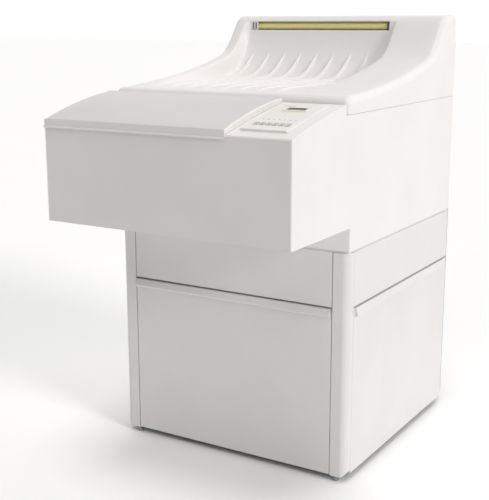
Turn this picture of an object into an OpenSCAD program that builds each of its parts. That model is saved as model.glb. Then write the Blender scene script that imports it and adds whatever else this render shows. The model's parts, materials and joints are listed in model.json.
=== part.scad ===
// Floor-standing x-ray film processor on its cabinet stand.
// +Z is up, +X is to the operator's right, the operator stands on the -Y side.
// The origin is on the floor, under the middle of the whole machine.

/* [Cabinet stand] */
// Width of the stand and of the machine
stand_w = 600; // [590:1:640]
// Depth of the stand, front to back
stand_d = 590; // [586:1:620]
// Height of the stand without its feet
stand_h = 513; // [490:1:560]
// Height of the feet under the stand
foot_h = 14; // [12:0.5:20]
// Radius of a foot's pad
foot_r = 9; // [7:0.5:10]
// Radius of a foot's threaded stud
stud_r = 4; // [3:0.5:5]
// Front width of a corner post
post_w = 38; // [36:1:44]
// Side depth of a corner post
post_d = 27; // [25:1:34]
// Rounding of a front post's outer corner
post_r = 16; // [10:1:18]
// Width of a rear post
rear_post_w = 20; // [18:1:20]
// Sheet thickness of the stand's panels and posts
sheet_t = 2; // [1.5:0.1:2.5]
// Depth of the folded edge of a stand panel
fold_d = 12; // [9:0.5:13]
// Height of the lower doors' top edge above the stand's bottom
door_h = 384; // [360:1:410]
// Height of the grip lip on a lower door
lip_h = 20; // [14:1:26]
// How far the grip lip stands out
lip_out = 8; // [5:0.5:12]
// Radius of the hook pins that a lower door tilts on
hook_r = 3; // [2:0.5:3.5]

/* [Machine body] */
// Height of the machine body between stand and cover
body_h = 287; // [280:1:320]
// How far the feed unit stands out in front of the stand
overhang = 253; // [245:1:280]
// Height of the feed unit's floor above the stand
feed_rise = 51; // [40:1:60]
// How far the feed unit's front edge lies below the cover seam
feed_drop = 25; // [20:1:30]
// How far the feed unit's rear edge lies above the cover seam
feed_back_rise = 21; // [18:1:26]
// Radius of the feed unit's crowned top
crown_r = 960; // [700:10:1400]
// Radius of the console's top, which is nearly flat
console_r = 3000; // [2000:100:6000]
// Wall thickness of housing panels and covers
wall_t = 3; // [2.5:0.1:3.5]
// Gap behind the feed unit's top, in front of the cover
deck_setback = 27; // [25:1:32]

/* [Top cover] */
// Height of the cover at the back
cover_h = 197; // [194:1:215]
// How far the cover's front stands in front of the stand
cover_lead = 14; // [10:1:16]
// Height of the cover's front wall
cover_front_h = 36.5; // [34:0.5:39]
// Depth of the flat top behind the receiving tray
flat_top_d = 68; // [66:1:76]
// Width of the left cheek beside the tray
cheek_left_w = 38; // [34:1:42]
// Width of the right cheek beside the tray
cheek_right_w = 133; // [110:1:140]
// Height of the tray's floor above the seam
tray_floor_h = 41; // [39:0.5:44]
// Radius of the tray's sweep up to the exit slot
tray_r = 150; // [140:1:154]
// Width of the exit slot
slot_w = 401; // [390:1:405]
// Height of the exit slot
slot_h = 23; // [15:1:23]
// Distance from the cover's top to the exit slot
slot_drop = 13; // [12:1:20]
// Number of ribs on the tray
rib_n = 8; // [4:1:8]
// Distance between ribs
rib_pitch = 47.5; // [40:0.5:50]
// Height of a rib
rib_h = 6; // [3:0.5:8]
// Thickness of a rib
rib_t = 5; // [3:0.5:8]

/* [Feed lid and console] */
// Width of the console beside the feed lid
console_w = 146; // [144:1:156]
// Height of the lid's top above the deck
lid_rise = 10; // [9.5:0.5:13]
// How far the lid's lip stands in front of the housing
lid_proud = 4; // [3.5:0.5:6]
// Height of the lid's front lip
lid_lip_h = 20; // [12:1:22]
// Radius of the lid's hinge barrel
barrel_r = 4.5; // [4:0.5:4.5]
// Radius of the lid's hinge pins
lid_pin_r = 2; // [1.5:0.25:2.5]
// Width of a hinge ear on the deck
ear_w = 12; // [8:1:16]
// Width of the control plate
plate_w = 104; // [100:1:116]
// Length of the control plate up the slope
plate_l = 172; // [150:1:176]
// Distance of the control plate from the right side panel
plate_margin = 23; // [16:1:24]
// How far the control plate stands out of the deck
plate_rise = 3.5; // [2:0.5:5]
// Number of keys
key_n = 6; // [3:1:6]
// Width of a key
key_w = 10; // [8:0.5:11]
// Length of a key up the slope
key_l = 14; // [10:0.5:16]
// Distance between keys
key_pitch = 14; // [13.5:0.1:14.5]
// Width of the display
display_w = 46; // [40:1:60]
// Length of the display up the slope
display_l = 18; // [14:1:26]

/* [Film path] */
// Length of a roller's face, for film 14 inches wide
roller_l = 380; // [366:1:382]
// Radius of the drive and nip rollers
roller_r = 12; // [10:0.5:12]
// Radius of the turnaround rollers at the bottom of the racks
turn_r = 30; // [24:1:32]
// Radius of the two exit rollers
exit_r = 13; // [11:0.5:13]
// Radius of every roller shaft
shaft_r = 5; // [4:0.5:5]
// Distance of the film path's middle from the machine's left side
path_x = 250; // [250:1:256]
// Radius of the belt pulleys
pulley_r = 10; // [8:0.5:10]
// Thickness of the drive belts
belt_t = 2.5; // [2:0.5:3]
// Width of the drive belts
belt_w = 5; // [4:0.5:6]
// Thickness of the racks' side plates
rack_t = 4; // [3:0.5:5]

/* [Tanks] */
// Length of the developer tank
developer_l = 160; // [156:1:160]
// Length of the fixer tank
fixer_l = 150; // [146:1:150]
// Length of the wash tank
wash_l = 130; // [126:1:130]
// Wall thickness of the tanks
tank_t = 4; // [3:0.5:4.5]
// Height of the tank block
tank_h = 230; // [220:1:232]
// Outer radius of the drain pipes
drain_r = 9.5; // [8:0.5:11]
// Width of a supply bottle
bottle_w = 230; // [200:5:235]
// Depth of a supply bottle
bottle_d = 320; // [280:5:330]
// Height of a supply bottle without its cap
bottle_h = 290; // [250:5:300]

/* [Hidden] */
$fn = 72;

// Clearances
run_fit = 0.05;
panel_gap = 1.5;
seat_gap = 0.3;
nip_gap = 0.3;
lip_gap = 3;
reveal = 0.5;

// Main planes
half_w = stand_w / 2;
all_d = lid_proud + overhang + stand_d;
feed_y = lid_proud - all_d / 2;
body_y = feed_y + overhang;
back_y = body_y + stand_d;
deck_z = foot_h + stand_h;
seam_z = deck_z + body_h;
feed_z = deck_z + feed_rise;
top_z = seam_z + cover_h;

// Crowned top of the feed unit under the lid: a circle through its front and rear edges
crown_front = [feed_y, seam_z - feed_drop];
crown_back = [body_y - deck_setback, seam_z + feed_back_rise];
crown_mid = (crown_front + crown_back) / 2;
crown_chord = norm(crown_back - crown_front);
crown_dir = (crown_back - crown_front) / crown_chord;
function crown_centre(r) = crown_mid + sqrt(r * r - crown_chord * crown_chord / 4) * [crown_dir[1], -crown_dir[0]];
crown_c = crown_centre(crown_r);
function crown_z(y, off = 0) = crown_c[1] + sqrt(pow(crown_r + off, 2) - pow(y - crown_c[0], 2));
// The console's top has the same two edges and a larger radius
console_c = crown_centre(console_r);
function console_z(y, off = 0) = console_c[1] + sqrt(pow(console_r + off, 2) - pow(y - console_c[0], 2));

// Stand
door_pin_in = fold_d / 2;
door_pin_up = 10;
door_edge_up = 2;
door_top_z = foot_h + door_h;
door_corner_r = 14;
tray_t = 3;
tray_up = 8;
post_foot_t = 3;
foot_x = half_w - post_w + rear_post_w / 2;
foot_front_y = body_y + post_d / 2;
foot_back_y = back_y - sheet_t - post_d / 2;
stud_l = 34;
deck_plate_t = 4;

// Film path
path_mid = path_x - half_w;
rack_gap = 6;
rack_in = roller_l / 2 + rack_gap;
rack_out = rack_in + rack_t;
belt_x = path_mid + rack_out + 8;
exit_belt_x = belt_x + belt_w + 3;
shaft_end = 3;
drive_z = seam_z - 29;
feed_roller_y = body_y - 45;
nip_step = 2 * roller_r + nip_gap;
nip_z = drive_z + roller_r + nip_gap / 2;
squeegee_y = body_y + 468;
exit_z = top_z - 27;
exit_front_y = back_y - flat_top_d + 2 * wall_t + 1 + exit_r;
exit_step = 2 * exit_r + nip_gap;
motor_y = body_y + 40;
motor_r = 28;
motor_face_t = 12;
motor_l = 42;

// Tanks and racks
tank_y = body_y + 14;
tank_z = deck_z + wall_t + 6;
tank_x = [path_mid - rack_out - 24, path_mid + rack_out + 14];
developer_y = tank_y + tank_t + developer_l / 2;
fixer_y = developer_y + developer_l / 2 + tank_t + fixer_l / 2;
wash_y = fixer_y + fixer_l / 2 + tank_t + wash_l / 2;
tank_back_y = wash_y + wash_l / 2 + tank_t;
turn_z = tank_z + tank_t + 16 + turn_r;
rack_side_room = 14;
rack_foot = 6;
drain_drop = 60;

// Feed tray
feed_tray_t = 2;
feed_tray_front = [feed_y + wall_t + 6, crown_z(feed_y + 9) - 26];
feed_tray_back = [feed_roller_y - roller_r - 3, nip_z - 1];
feed_mouth_y = [feed_y + 22, body_y - 76];

// Lid
lid_x = [-half_w, half_w - console_w];
lid_gap = 0.5;
lid_overlap = 22;
feed_mouth_x = [path_mid - roller_l / 2 - 14, lid_x[1] - lid_overlap];
lid_lip_r = (lid_proud - 1) / 2;
hinge_y = body_y - deck_setback - 4;
hinge_z = crown_z(hinge_y) + lid_gap + barrel_r;
ear_x = [path_mid - 175, path_mid + 140];
lid_pin_l = 40;

// Console
console_x = lid_x[1] - wall_t - reveal;
console_t = 9;
plate_x = half_w - wall_t - plate_margin - plate_w;
plate_y = body_y - 140;
plate_slope = asin((console_c[0] - plate_y) / console_r);
plate_sink = 4;
key_row_v = -52;
key_rise = 1.4;
key_flange = 1.2;
key_flange_t = 1.2;
key_play = 0.1;
key_travel = 0.8;
key_room = 1;
display_v = 50;

// Cover outline: control points measured from the body's front, the back and the seam
cheek_turn_h = 95;
cover_edge_r = 20;
cover_back_r = 12;
rib_y = [body_y + 130, body_y + 492];
rib_first_x = -half_w + cheek_left_w + 34;

// Helpers
function bezier(p, t) = pow(1 - t, 3) * p[0] + 3 * pow(1 - t, 2) * t * p[1]
    + 3 * (1 - t) * t * t * p[2] + pow(t, 3) * p[3];
function curve(p, n) = [for (i = [0:n]) bezier(p, i / n)];
function arc(c, r, a0, a1, n) = [for (i = [0:n]) c + r * [cos(a0 + (a1 - a0) * i / n),
    sin(a0 + (a1 - a0) * i / n)]];

module block(x, y, z) {
    translate([x[0], y[0], z[0]])
        cube([x[1] - x[0], y[1] - y[0], z[1] - z[0]]);
}

module rod(x, y, z, r) {
    translate([x[0], y, z])
        rotate([0, 90, 0])
            cylinder(r = r, h = x[1] - x[0]);
}

module along_x(x) {
    translate([x[0], 0, 0])
        rotate([90, 0, 90])
            linear_extrude(x[1] - x[0])
                children();
}

module area(a, b) {
    translate([a[0], b[0]])
        square([a[1] - a[0], b[1] - b[0]]);
}

// Places children in the control plate's own frame: X across, Y up the slope, Z out
module on_plate() {
    translate([plate_x + plate_w / 2, plate_y, console_z(plate_y)])
        rotate([plate_slope, 0, 0])
            children();
}

// Stand pieces

// Section of the front left post, seen from above, with its outer corner rounded
module post_section(inset = 0) {
    r = post_r - inset;
    difference() {
        area([-half_w + inset, -half_w + post_w - inset], [body_y + inset, body_y + post_d - inset]);
        difference() {
            area([-half_w - 1, -half_w + post_r], [body_y - 1, body_y + post_r]);
            translate([-half_w + post_r, body_y + post_r])
                circle(r = r);
        }
    }
}

module front_post() {
    low = foot_h;
    high = deck_z - deck_plate_t;
    difference() {
        translate([0, 0, low])
            linear_extrude(high - low)
                post_section();
        translate([0, 0, low + post_foot_t])
            linear_extrude(high - low)
                post_section(sheet_t);
        // Rounded lower corner in the front view
        difference() {
            block([-half_w - 1, -half_w + post_r], [body_y - 1, body_y + post_d + 1], [low - 1, low + post_r]);
            translate([-half_w + post_r, body_y - 1, low + post_r])
                rotate([-90, 0, 0])
                    cylinder(r = post_r, h = post_d + 2);
        }
        translate([-foot_x, foot_front_y, low - 1])
            cylinder(r = stud_r + run_fit, h = post_foot_t + 2);
        rod([-half_w + post_w - sheet_t - 1, -half_w + post_w + 1],
            body_y + door_pin_in, low + door_pin_up, hook_r + run_fit);
        translate([-half_w + door_pin_in, body_y + post_d - sheet_t - 1, low + door_pin_up])
            rotate([-90, 0, 0])
                cylinder(r = hook_r + run_fit, h = sheet_t + 2);
    }
}

module front_post_left() {
    color("#e9e7e3")
        front_post();
}

module front_post_right() {
    color("#e9e7e3")
        mirror([1, 0, 0])
            front_post();
}

module rear_posts() {
    x = [half_w - post_w, half_w - post_w + rear_post_w];
    y = [back_y - sheet_t - post_d, back_y - sheet_t];
    z = [foot_h, deck_z - deck_plate_t];
    color("#b9bbbd")
        for (side = [0, 1])
            mirror([side, 0, 0])
                difference() {
                    block(x, y, z);
                    block([x[0] + sheet_t, x[1] - sheet_t], [y[0] + sheet_t, y[1] - sheet_t],
                        [z[0] + post_foot_t, z[1] + 1]);
                    translate([foot_x, foot_back_y, z[0] - 1])
                        cylinder(r = stud_r + run_fit, h = post_foot_t + 2);
                }
}

module base_tray() {
    x = half_w - post_w;
    y = [body_y + fold_d + 6, back_y - sheet_t];
    z = foot_h + tray_up;
    rim = 12;
    color("#b9bbbd")
        difference() {
            block([-x, x], y, [z, z + rim]);
            block([-x + sheet_t, x - sheet_t], [y[0] + sheet_t, y[1] - sheet_t], [z + tray_t, z + rim + 1]);
        }
}

module top_deck() {
    x = half_w - sheet_t - reveal;
    y = [body_y + sheet_t + reveal, back_y - sheet_t];
    color("#b9bbbd")
        difference() {
            block([-x, x], y, [deck_z - deck_plate_t, deck_z]);
            drain_holes(deck_z - deck_plate_t - 1, deck_plate_t + 2);
            hose_holes(deck_z - deck_plate_t - 1, deck_plate_t + 2);
        }
}

// A folded panel that faces the front: a face sheet with four folded edges
module front_pan(x, z) {
    y = body_y;
    difference() {
        block(x, [y, y + fold_d], z);
        block([x[0] + sheet_t, x[1] - sheet_t], [y + sheet_t, y + fold_d + 1],
            [z[0] + sheet_t, z[1] - sheet_t]);
    }
}

// Outline of a side panel in the YZ plane, with its lower rear corner rounded
module side_outline(y, z, r, inset) {
    difference() {
        area([y[0] + inset, y[1] - inset], [z[0] + inset, z[1] - inset]);
        if (r > 0)
            difference() {
                area([y[1] - r, y[1] + 1], [z[0] - 1, z[0] + r]);
                translate([y[1] - r, z[0] + r])
                    circle(r = r - inset);
            }
    }
}

// A folded panel that faces the right side
module side_pan(y, z, r = 0) {
    difference() {
        along_x([half_w - fold_d, half_w])
            side_outline(y, z, r, 0);
        along_x([half_w - fold_d - 1, half_w - sheet_t])
            side_outline(y, z, r, sheet_t);
    }
}

// Section of the grip lip: x is how far out, y is up
module lip_section() {
    polygon(concat([[-1, 0], [0, 0]],
        curve([[0, 0], [lip_out * 0.6, 0], [lip_out, 0.15 * lip_h], [lip_out, 0.35 * lip_h]], 6),
        [[lip_out * 0.55, lip_h - 1], [lip_out * 0.4, lip_h], [-1, lip_h]]));
}

side_panel_y = [body_y + post_d + panel_gap, back_y - sheet_t - panel_gap];
upper_panel_z = [door_top_z + lip_gap, deck_z - deck_plate_t];
lower_panel_z = [foot_h + door_edge_up, door_top_z];
front_panel_x = [-half_w + post_w + panel_gap, half_w - post_w - panel_gap];

module upper_front_panel() {
    color("#e9e7e3")
        front_pan(front_panel_x, upper_panel_z);
}

module upper_right_panel() {
    color("#f0eeea")
        side_pan(side_panel_y, upper_panel_z);
}

module upper_left_panel() {
    color("#f0eeea")
        mirror([1, 0, 0])
            side_pan(side_panel_y, upper_panel_z);
}

module front_door() {
    color("#e4e2de") {
        front_pan(front_panel_x, lower_panel_z);
        translate([front_panel_x[0] + 2, body_y, door_top_z - lip_h])
            rotate([90, 0, 90])
                linear_extrude(front_panel_x[1] - front_panel_x[0] - 4)
                    mirror([1, 0])
                        lip_section();
        for (side = [0, 1])
            mirror([side, 0, 0])
                rod([front_panel_x[1] - sheet_t, half_w - post_w + sheet_t + 3],
                    body_y + door_pin_in, foot_h + door_pin_up, hook_r);
    }
}

module right_door_shape() {
    lip_y = [side_panel_y[0] + 4, side_panel_y[1] - 30];
    side_pan(side_panel_y, lower_panel_z, door_corner_r);
    translate([half_w, lip_y[1], door_top_z - lip_h])
        rotate([90, 0, 0])
            linear_extrude(lip_y[1] - lip_y[0])
                lip_section();
    for (y = [side_panel_y[0] - panel_gap - sheet_t - 3, side_panel_y[1] - sheet_t])
        translate([half_w - door_pin_in, y, foot_h + door_pin_up])
            rotate([-90, 0, 0])
                cylinder(r = hook_r, h = panel_gap + 2 * sheet_t + (y < 0 ? 3 : 0));
}

module right_door() {
    color("#f2f0ec")
        right_door_shape();
}

module left_door() {
    color("#f2f0ec")
        mirror([1, 0, 0])
            right_door_shape();
}

module stand_back_panel() {
    y = [back_y - sheet_t, back_y];
    z = [foot_h + door_edge_up, deck_z - reveal];
    r = door_corner_r;
    color("#e4e2de")
        difference() {
            block([-half_w, half_w], y, z);
            for (side = [0, 1])
                mirror([side, 0, 0]) {
                    difference() {
                        block([half_w - r, half_w + 1], [y[0] - 1, y[1] + 1], [z[0] - 1, z[0] + r]);
                        translate([half_w - r, y[0] - 1, z[0] + r])
                            rotate([-90, 0, 0])
                                cylinder(r = r, h = sheet_t + 2);
                    }
                    translate([half_w - door_pin_in, y[0] - 1, foot_h + door_pin_up])
                        rotate([-90, 0, 0])
                            cylinder(r = hook_r + run_fit, h = sheet_t + 2);
                }
            // Cable and hose outlet near the floor
            block([-60, 60], [y[0] - 1, y[1] + 1], [foot_h + 60, foot_h + 110]);
        }
}

module levelling_feet() {
    color("#4a4a4c")
        for (x = [-foot_x, foot_x], y = [foot_front_y, foot_back_y])
            translate([x, y, 0]) {
                cylinder(r1 = foot_r - 2, r2 = foot_r, h = foot_h - seat_gap);
                cylinder(r = stud_r, h = stud_l);
            }
}

// Supply bottles

bottle_gap = 16;
cap_r = 28;
cap_h = 26;

module bottle(x0) {
    y0 = body_y + 70;
    z0 = foot_h + tray_up + tray_t;
    corner = 24;
    translate([x0, y0, z0]) {
        linear_extrude(bottle_h)
            difference() {
                square([bottle_w, bottle_d]);
                for (i = [0, 1], j = [0, 1])
                    translate([i * bottle_w, j * bottle_d])
                        mirror([i, 0])
                            mirror([0, j])
                                difference() {
                                    translate([-1, -1])
                                        square(corner + 1);
                                    translate([corner, corner])
                                        circle(r = corner);
                                }
            }
        translate([bottle_w / 2, bottle_d / 2, bottle_h])
            cylinder(r = cap_r, h = cap_h);
    }
}

function bottle_x(side) = side < 0 ? -bottle_gap / 2 - bottle_w : bottle_gap / 2;
bottle_neck_y = body_y + 70 + bottle_d / 2;
bottle_top_z = foot_h + tray_up + tray_t + bottle_h + cap_h;
hose_r = 5;
hose_y = bottle_neck_y;

module developer_bottle() {
    color("#d9d4c4")
        bottle(bottle_x(-1));
}

module fixer_bottle() {
    color("#cfd6da")
        bottle(bottle_x(1));
}

module hose_holes(z, h) {
    for (side = [-1, 1])
        translate([bottle_x(side) + bottle_w / 2, hose_y, z])
            cylinder(r = hose_r + 2 * seat_gap, h = h);
}

// Two supply hoses rise from the bottle caps through the deck to the tank block's floor
module supply_hoses() {
    color("#c8c8c4")
        for (side = [-1, 1])
            translate([bottle_x(side) + bottle_w / 2, hose_y, bottle_top_z])
                difference() {
                    cylinder(r = hose_r, h = tank_z - bottle_top_z);
                    translate([0, 0, -1])
                        cylinder(r = hose_r - 1.5, h = tank_z - bottle_top_z + 2);
                }
}

// Machine body

module base_pan() {
    x = half_w - wall_t;
    y = [body_y + wall_t, back_y - wall_t];
    rim = 18;
    color("#c9cacb")
        difference() {
            block([-x, x], y, [deck_z, deck_z + rim]);
            block([-x + wall_t, x - wall_t], [y[0] + wall_t, y[1] - wall_t],
                [deck_z + wall_t, deck_z + rim + 1]);
            drain_holes(deck_z - 1, wall_t + 2);
            hose_holes(deck_z - 1, wall_t + 2);
        }
}

// Space under a crowned top of the feed unit
module crown_outline(off = 0, c = crown_c, r = crown_r) {
    intersection() {
        translate(c)
            circle(r = r + off, $fn = 720);
        area([feed_y - 20, body_y], [feed_z, top_z]);
    }
}

module side_panel_outline(c, r) {
    area([body_y - deck_setback, back_y], [deck_z + reveal, seam_z]);
    intersection() {
        crown_outline(0, c, r);
        area([feed_y, body_y - deck_setback], [feed_z, top_z]);
    }
}

module side_panel_shape(c, r) {
    difference() {
        along_x([half_w - wall_t, half_w])
            side_panel_outline(c, r);
        // The stand's front is set back under the feed unit
        block([half_w - wall_t - 1, half_w + 1], [feed_y - 1, body_y], [deck_z - 1, feed_z]);
    }
}

module right_side_panel() {
    color("#f2f0ec")
        side_panel_shape(console_c, console_r);
}

module left_side_panel() {
    color("#f2f0ec")
        mirror([1, 0, 0])
            side_panel_shape(crown_c, crown_r);
}

inlet_gap = 50;
inlet_x = path_mid + rack_out + inlet_gap;
louvre_x = [-half_w + 50, -half_w + 110];
louvre_n = 6;
louvre_h = 6;
louvre_pitch = 14;
inlet_z = deck_z + 60;
louvre_z = deck_z + 90;
inlet_w = 32;
inlet_h = 26;

module body_back_panel() {
    color("#e4e2de")
        difference() {
            block([-half_w + wall_t, half_w - wall_t], [back_y - wall_t, back_y], [deck_z + reveal, seam_z]);
            block([inlet_x, inlet_x + inlet_w], [back_y - wall_t - 1, back_y + 1], [inlet_z, inlet_z + inlet_h]);
            // Air intake louvres for the dryer
            for (i = [0:louvre_n - 1])
                block(louvre_x, [back_y - wall_t - 1, back_y + 1],
                    [louvre_z + louvre_pitch * i, louvre_z + louvre_pitch * i + louvre_h]);
        }
}

module front_bulkhead() {
    belt = pulley_r + belt_t + 2;
    color("#dedcd9")
        difference() {
            block([-half_w + wall_t, half_w - wall_t], [body_y, body_y + wall_t],
                [deck_z + reveal, seam_z - wall_t]);
            block([path_mid - roller_l / 2 - 2, path_mid + roller_l / 2 + 2], [body_y - 1, body_y + wall_t + 1],
                [nip_z - 7, nip_z + 7]);
            block([belt_x - 2, belt_x + belt_w + 2], [body_y - 1, body_y + wall_t + 1],
                [drive_z - belt, drive_z + belt]);
        }
}

module feed_housing() {
    x = half_w - wall_t;
    color("#dddbd8")
        difference() {
            along_x([-x, x])
                intersection() {
                    crown_outline(-wall_t);
                    crown_outline(-wall_t, console_c, console_r);
                    area([feed_y, body_y], [feed_z, top_z]);
                }
            block([-x - 1, x + 1], [feed_y + wall_t, body_y + 1], [feed_z + wall_t, top_z]);
        }
}

// The deck is the feed unit's top: a frame round the feed mouth and, at the right, the console
module feed_deck() {
    x = half_w - wall_t;
    rear = body_y - deck_setback;
    color("#e6e4e0") {
        difference() {
            union() {
                difference() {
                    along_x([-x, console_x])
                        deck_band(wall_t, feed_y, rear);
                    block(feed_mouth_x, feed_mouth_y, [feed_z, top_z]);
                }
                // Step from the deck under the lid down to the console
                along_x([console_x - wall_t, console_x])
                    intersection() {
                        difference() {
                            crown_outline();
                            crown_outline(-console_t, console_c, console_r);
                        }
                        area([feed_y + wall_t, feed_roller_y - 24], [feed_z, top_z]);
                    }
                along_x([console_x, x]) {
                    deck_band(wall_t, feed_y, rear, console_c, console_r);
                    deck_band(console_t, feed_y + wall_t, rear, console_c, console_r);
                }
                block([-x, x], [rear - wall_t, rear], [seam_z - wall_t, crown_z(rear - wall_t) - 1]);
                block([-x, x], [rear - wall_t, body_y], [seam_z - wall_t, seam_z]);
            }
            on_plate()
                translate([-plate_w / 2 - seat_gap, -plate_l / 2 - seat_gap, -plate_sink])
                    cube([plate_w + 2 * seat_gap, plate_l + 2 * seat_gap, 20]);
            on_plate()
                translate([-key_n * key_pitch / 2, key_row_v - key_l, -plate_sink - 3])
                    cube([key_n * key_pitch, 2 * key_l, 10]);
        }
        for (ex = ear_x)
            difference() {
                union() {
                    rod([ex - ear_w / 2, ex + ear_w / 2], hinge_y, hinge_z, barrel_r);
                    block([ex - ear_w / 2, ex + ear_w / 2], [hinge_y - barrel_r, hinge_y + barrel_r],
                        [crown_z(hinge_y) - wall_t, hinge_z]);
                }
                rod([ex - ear_w, ex + ear_w], hinge_y, hinge_z, lid_pin_r + run_fit);
            }
    }
}

// A curved band of the deck, thick, between two Y planes
module deck_band(thick, y0, y1, c = crown_c, r = crown_r) {
    intersection() {
        difference() {
            crown_outline(0, c, r);
            crown_outline(-thick, c, r);
        }
        area([y0, y1], [feed_z, top_z]);
    }
}

module feed_tray() {
    slope = atan2(feed_tray_back[1] - feed_tray_front[1], feed_tray_back[0] - feed_tray_front[0]);
    run = norm(feed_tray_back - feed_tray_front);
    x = path_mid + rack_in;
    left = path_mid - rack_in;
    rail_h = 12;
    cheek_y = [feed_roller_y - 22, feed_roller_y + 12.5];
    cheek_z = [drive_z - 26, nip_z + 2 * roller_r + 2];
    color("#c9cacb") {
        difference() {
            union() {
                translate([left, feed_tray_front[0], feed_tray_front[1]])
                    rotate([slope, 0, 0]) {
                        translate([0, 0, -feed_tray_t])
                            cube([x - left, run, feed_tray_t]);
                        for (rx = [0, x - left - feed_tray_t])
                            translate([rx, 0, -feed_tray_t])
                                cube([feed_tray_t, run, rail_h]);
                    }
                for (cx = [left - rack_t, x])
                    block([cx, cx + rack_t], cheek_y, cheek_z);
                // Feet of the two bearing cheeks on the housing's floor
                for (cx = [left - rack_t, x])
                    block([cx, cx + rack_t], [cheek_y[0], cheek_y[0] + 20], [feed_z + wall_t, cheek_z[0]]);
                // Tie bar that carries the tray between the cheeks
                rod([left - 1, x + 1], cheek_y[0] + 8, drive_z - 20, 4);
            }
            rod([left - rack_t - 1, x + rack_t + 1], feed_roller_y, drive_z, shaft_r + run_fit);
            rod([left - rack_t - 1, x + rack_t + 1], feed_roller_y, drive_z + nip_step, shaft_r + run_fit);
        }
    }
}

module control_plate() {
    color("#d7d6d2")
        on_plate()
            difference() {
                intersection() {
                    translate([-plate_w / 2, -plate_l / 2, -plate_sink])
                        cube([plate_w, plate_l, plate_sink + plate_rise]);
                    // The right edge is bevelled down to the deck
                    rotate([90, 0, 0])
                        linear_extrude(plate_l + 2, center = true)
                            polygon([[-plate_w, -plate_sink - 1], [plate_w / 2 + 1, -plate_sink - 1],
                                [plate_w / 2 + 1, 0.3], [plate_w / 2 - 6, plate_rise], [-plate_w, plate_rise]]);
                }
                for (i = [0:key_n - 1])
                    translate([key_u(i) - key_w / 2 - seat_gap, key_row_v - key_l / 2 - seat_gap, -plate_sink - 1])
                        cube([key_w + 2 * seat_gap, key_l + 2 * seat_gap, 20]);
                translate([-display_w / 2, display_v - display_l / 2, plate_rise - 2])
                    cube([display_w, display_l, 5]);
            }
}

module display_window() {
    color("#5b5048")
        on_plate()
            translate([-display_w / 2 + seat_gap, display_v - display_l / 2 + seat_gap, plate_rise - 2])
                cube([display_w - 2 * seat_gap, display_l - 2 * seat_gap, 1.8]);
}

function key_u(i) = (i - (key_n - 1) / 2) * key_pitch;

module key_cap(i) {
    if (i < key_n)
        color("#c4c8c6")
            on_plate()
                translate([key_u(i), key_row_v, 0]) {
                    translate([-key_w / 2, -key_l / 2, -plate_sink - key_play - key_flange_t])
                        cube([key_w, key_l, plate_sink + key_play + key_flange_t + plate_rise + key_rise]);
                    translate([-key_w / 2 - key_flange, -key_l / 2 - key_flange,
                            -plate_sink - key_play - key_flange_t])
                        cube([key_w + 2 * key_flange, key_l + 2 * key_flange, key_flange_t]);
                }
}

module feed_lid() {
    y = [feed_y - lid_proud, hinge_y];
    skirt = wall_t;
    lip_z = crown_z(feed_y, lid_rise) - lid_lip_h;
    inner = [lid_x[0] + skirt, lid_x[1] - skirt];
    color("#e3e1dd")
        difference() {
            union() {
                difference() {
                    along_x(lid_x)
                        lid_outline(lid_rise, lid_gap, y[0], y[1]);
                    along_x(inner)
                        lid_outline(lid_rise - wall_t, -1, feed_y + skirt, y[1] - 6);
                }
                // The right skirt reaches down to the console
                along_x([inner[1], lid_x[1]])
                    intersection() {
                        difference() {
                            crown_outline(lid_rise);
                            crown_outline(lid_gap, console_c, console_r);
                        }
                        area([feed_y + skirt, y[1]], [feed_z, top_z]);
                    }
                block(lid_x, [y[0], y[0] + lid_proud - 1], [lip_z, crown_z(feed_y - 2, lid_rise) - 1]);
                rod(lid_x, y[0] + lid_lip_r, lip_z + 1, lid_lip_r);
                rod(lid_x, hinge_y, hinge_z, barrel_r);
            }
            for (ex = ear_x) {
                block([ex - ear_w / 2 - reveal, ex + ear_w / 2 + reveal],
                    [hinge_y - barrel_r - 2, hinge_y + barrel_r + 1], [seam_z, hinge_z + 3 * barrel_r]);
                rod([ex - lid_pin_l / 2 - 1, ex + lid_pin_l / 2 + 1], hinge_y, hinge_z, lid_pin_r + run_fit);
            }
        }
}

module lid_outline(high, low, y0, y1) {
    intersection() {
        difference() {
            translate(crown_c)
                circle(r = crown_r + high, $fn = 720);
            translate(crown_c)
                circle(r = crown_r + low, $fn = 720);
        }
        area([y0, y1], [feed_z, top_z]);
    }
}

module lid_hinge_pins() {
    color("#9a9c9e")
        for (ex = ear_x)
            rod([ex - lid_pin_l / 2, ex + lid_pin_l / 2], hinge_y, hinge_z, lid_pin_r);
}

// Top cover

function cover_curve() = concat(
    arc([body_y - cover_lead + cover_edge_r, seam_z + cover_front_h - cover_edge_r], cover_edge_r, 180, 92, 6),
    curve([[body_y - cover_lead + cover_edge_r + 5, seam_z + cover_front_h], [body_y + 150, seam_z + cover_front_h + 6],
        [back_y - 290, seam_z + cheek_turn_h - 35], [back_y - 160, seam_z + cheek_turn_h]], 14),
    curve([[back_y - 160, seam_z + cheek_turn_h], [back_y - 128, seam_z + cheek_turn_h + 9],
        [back_y - 108, top_z - 69], [back_y - 85, top_z - 37]], 10),
    curve([[back_y - 85, top_z - 37], [back_y - 70, top_z - 16],
        [back_y - 59, top_z], [back_y - 34, top_z]], 8));

module cover_outline() {
    polygon(concat([[body_y - cover_lead, seam_z]], cover_curve(),
        arc([back_y - cover_back_r, top_z - cover_back_r], cover_back_r, 90, 0, 8), [[back_y, seam_z]]));
}

// Space above the receiving tray, from its front to the wall with the exit slot
module tray_space() {
    c = [back_y - flat_top_d - tray_r, seam_z + tray_floor_h + tray_r];
    polygon(concat([[body_y - 60, c[1] - tray_r], [c[0], c[1] - tray_r]],
        arc(c, tray_r, -90, 0, 30), [[c[0] + tray_r, top_z + 40], [body_y - 60, top_z + 40]]));
}

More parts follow.
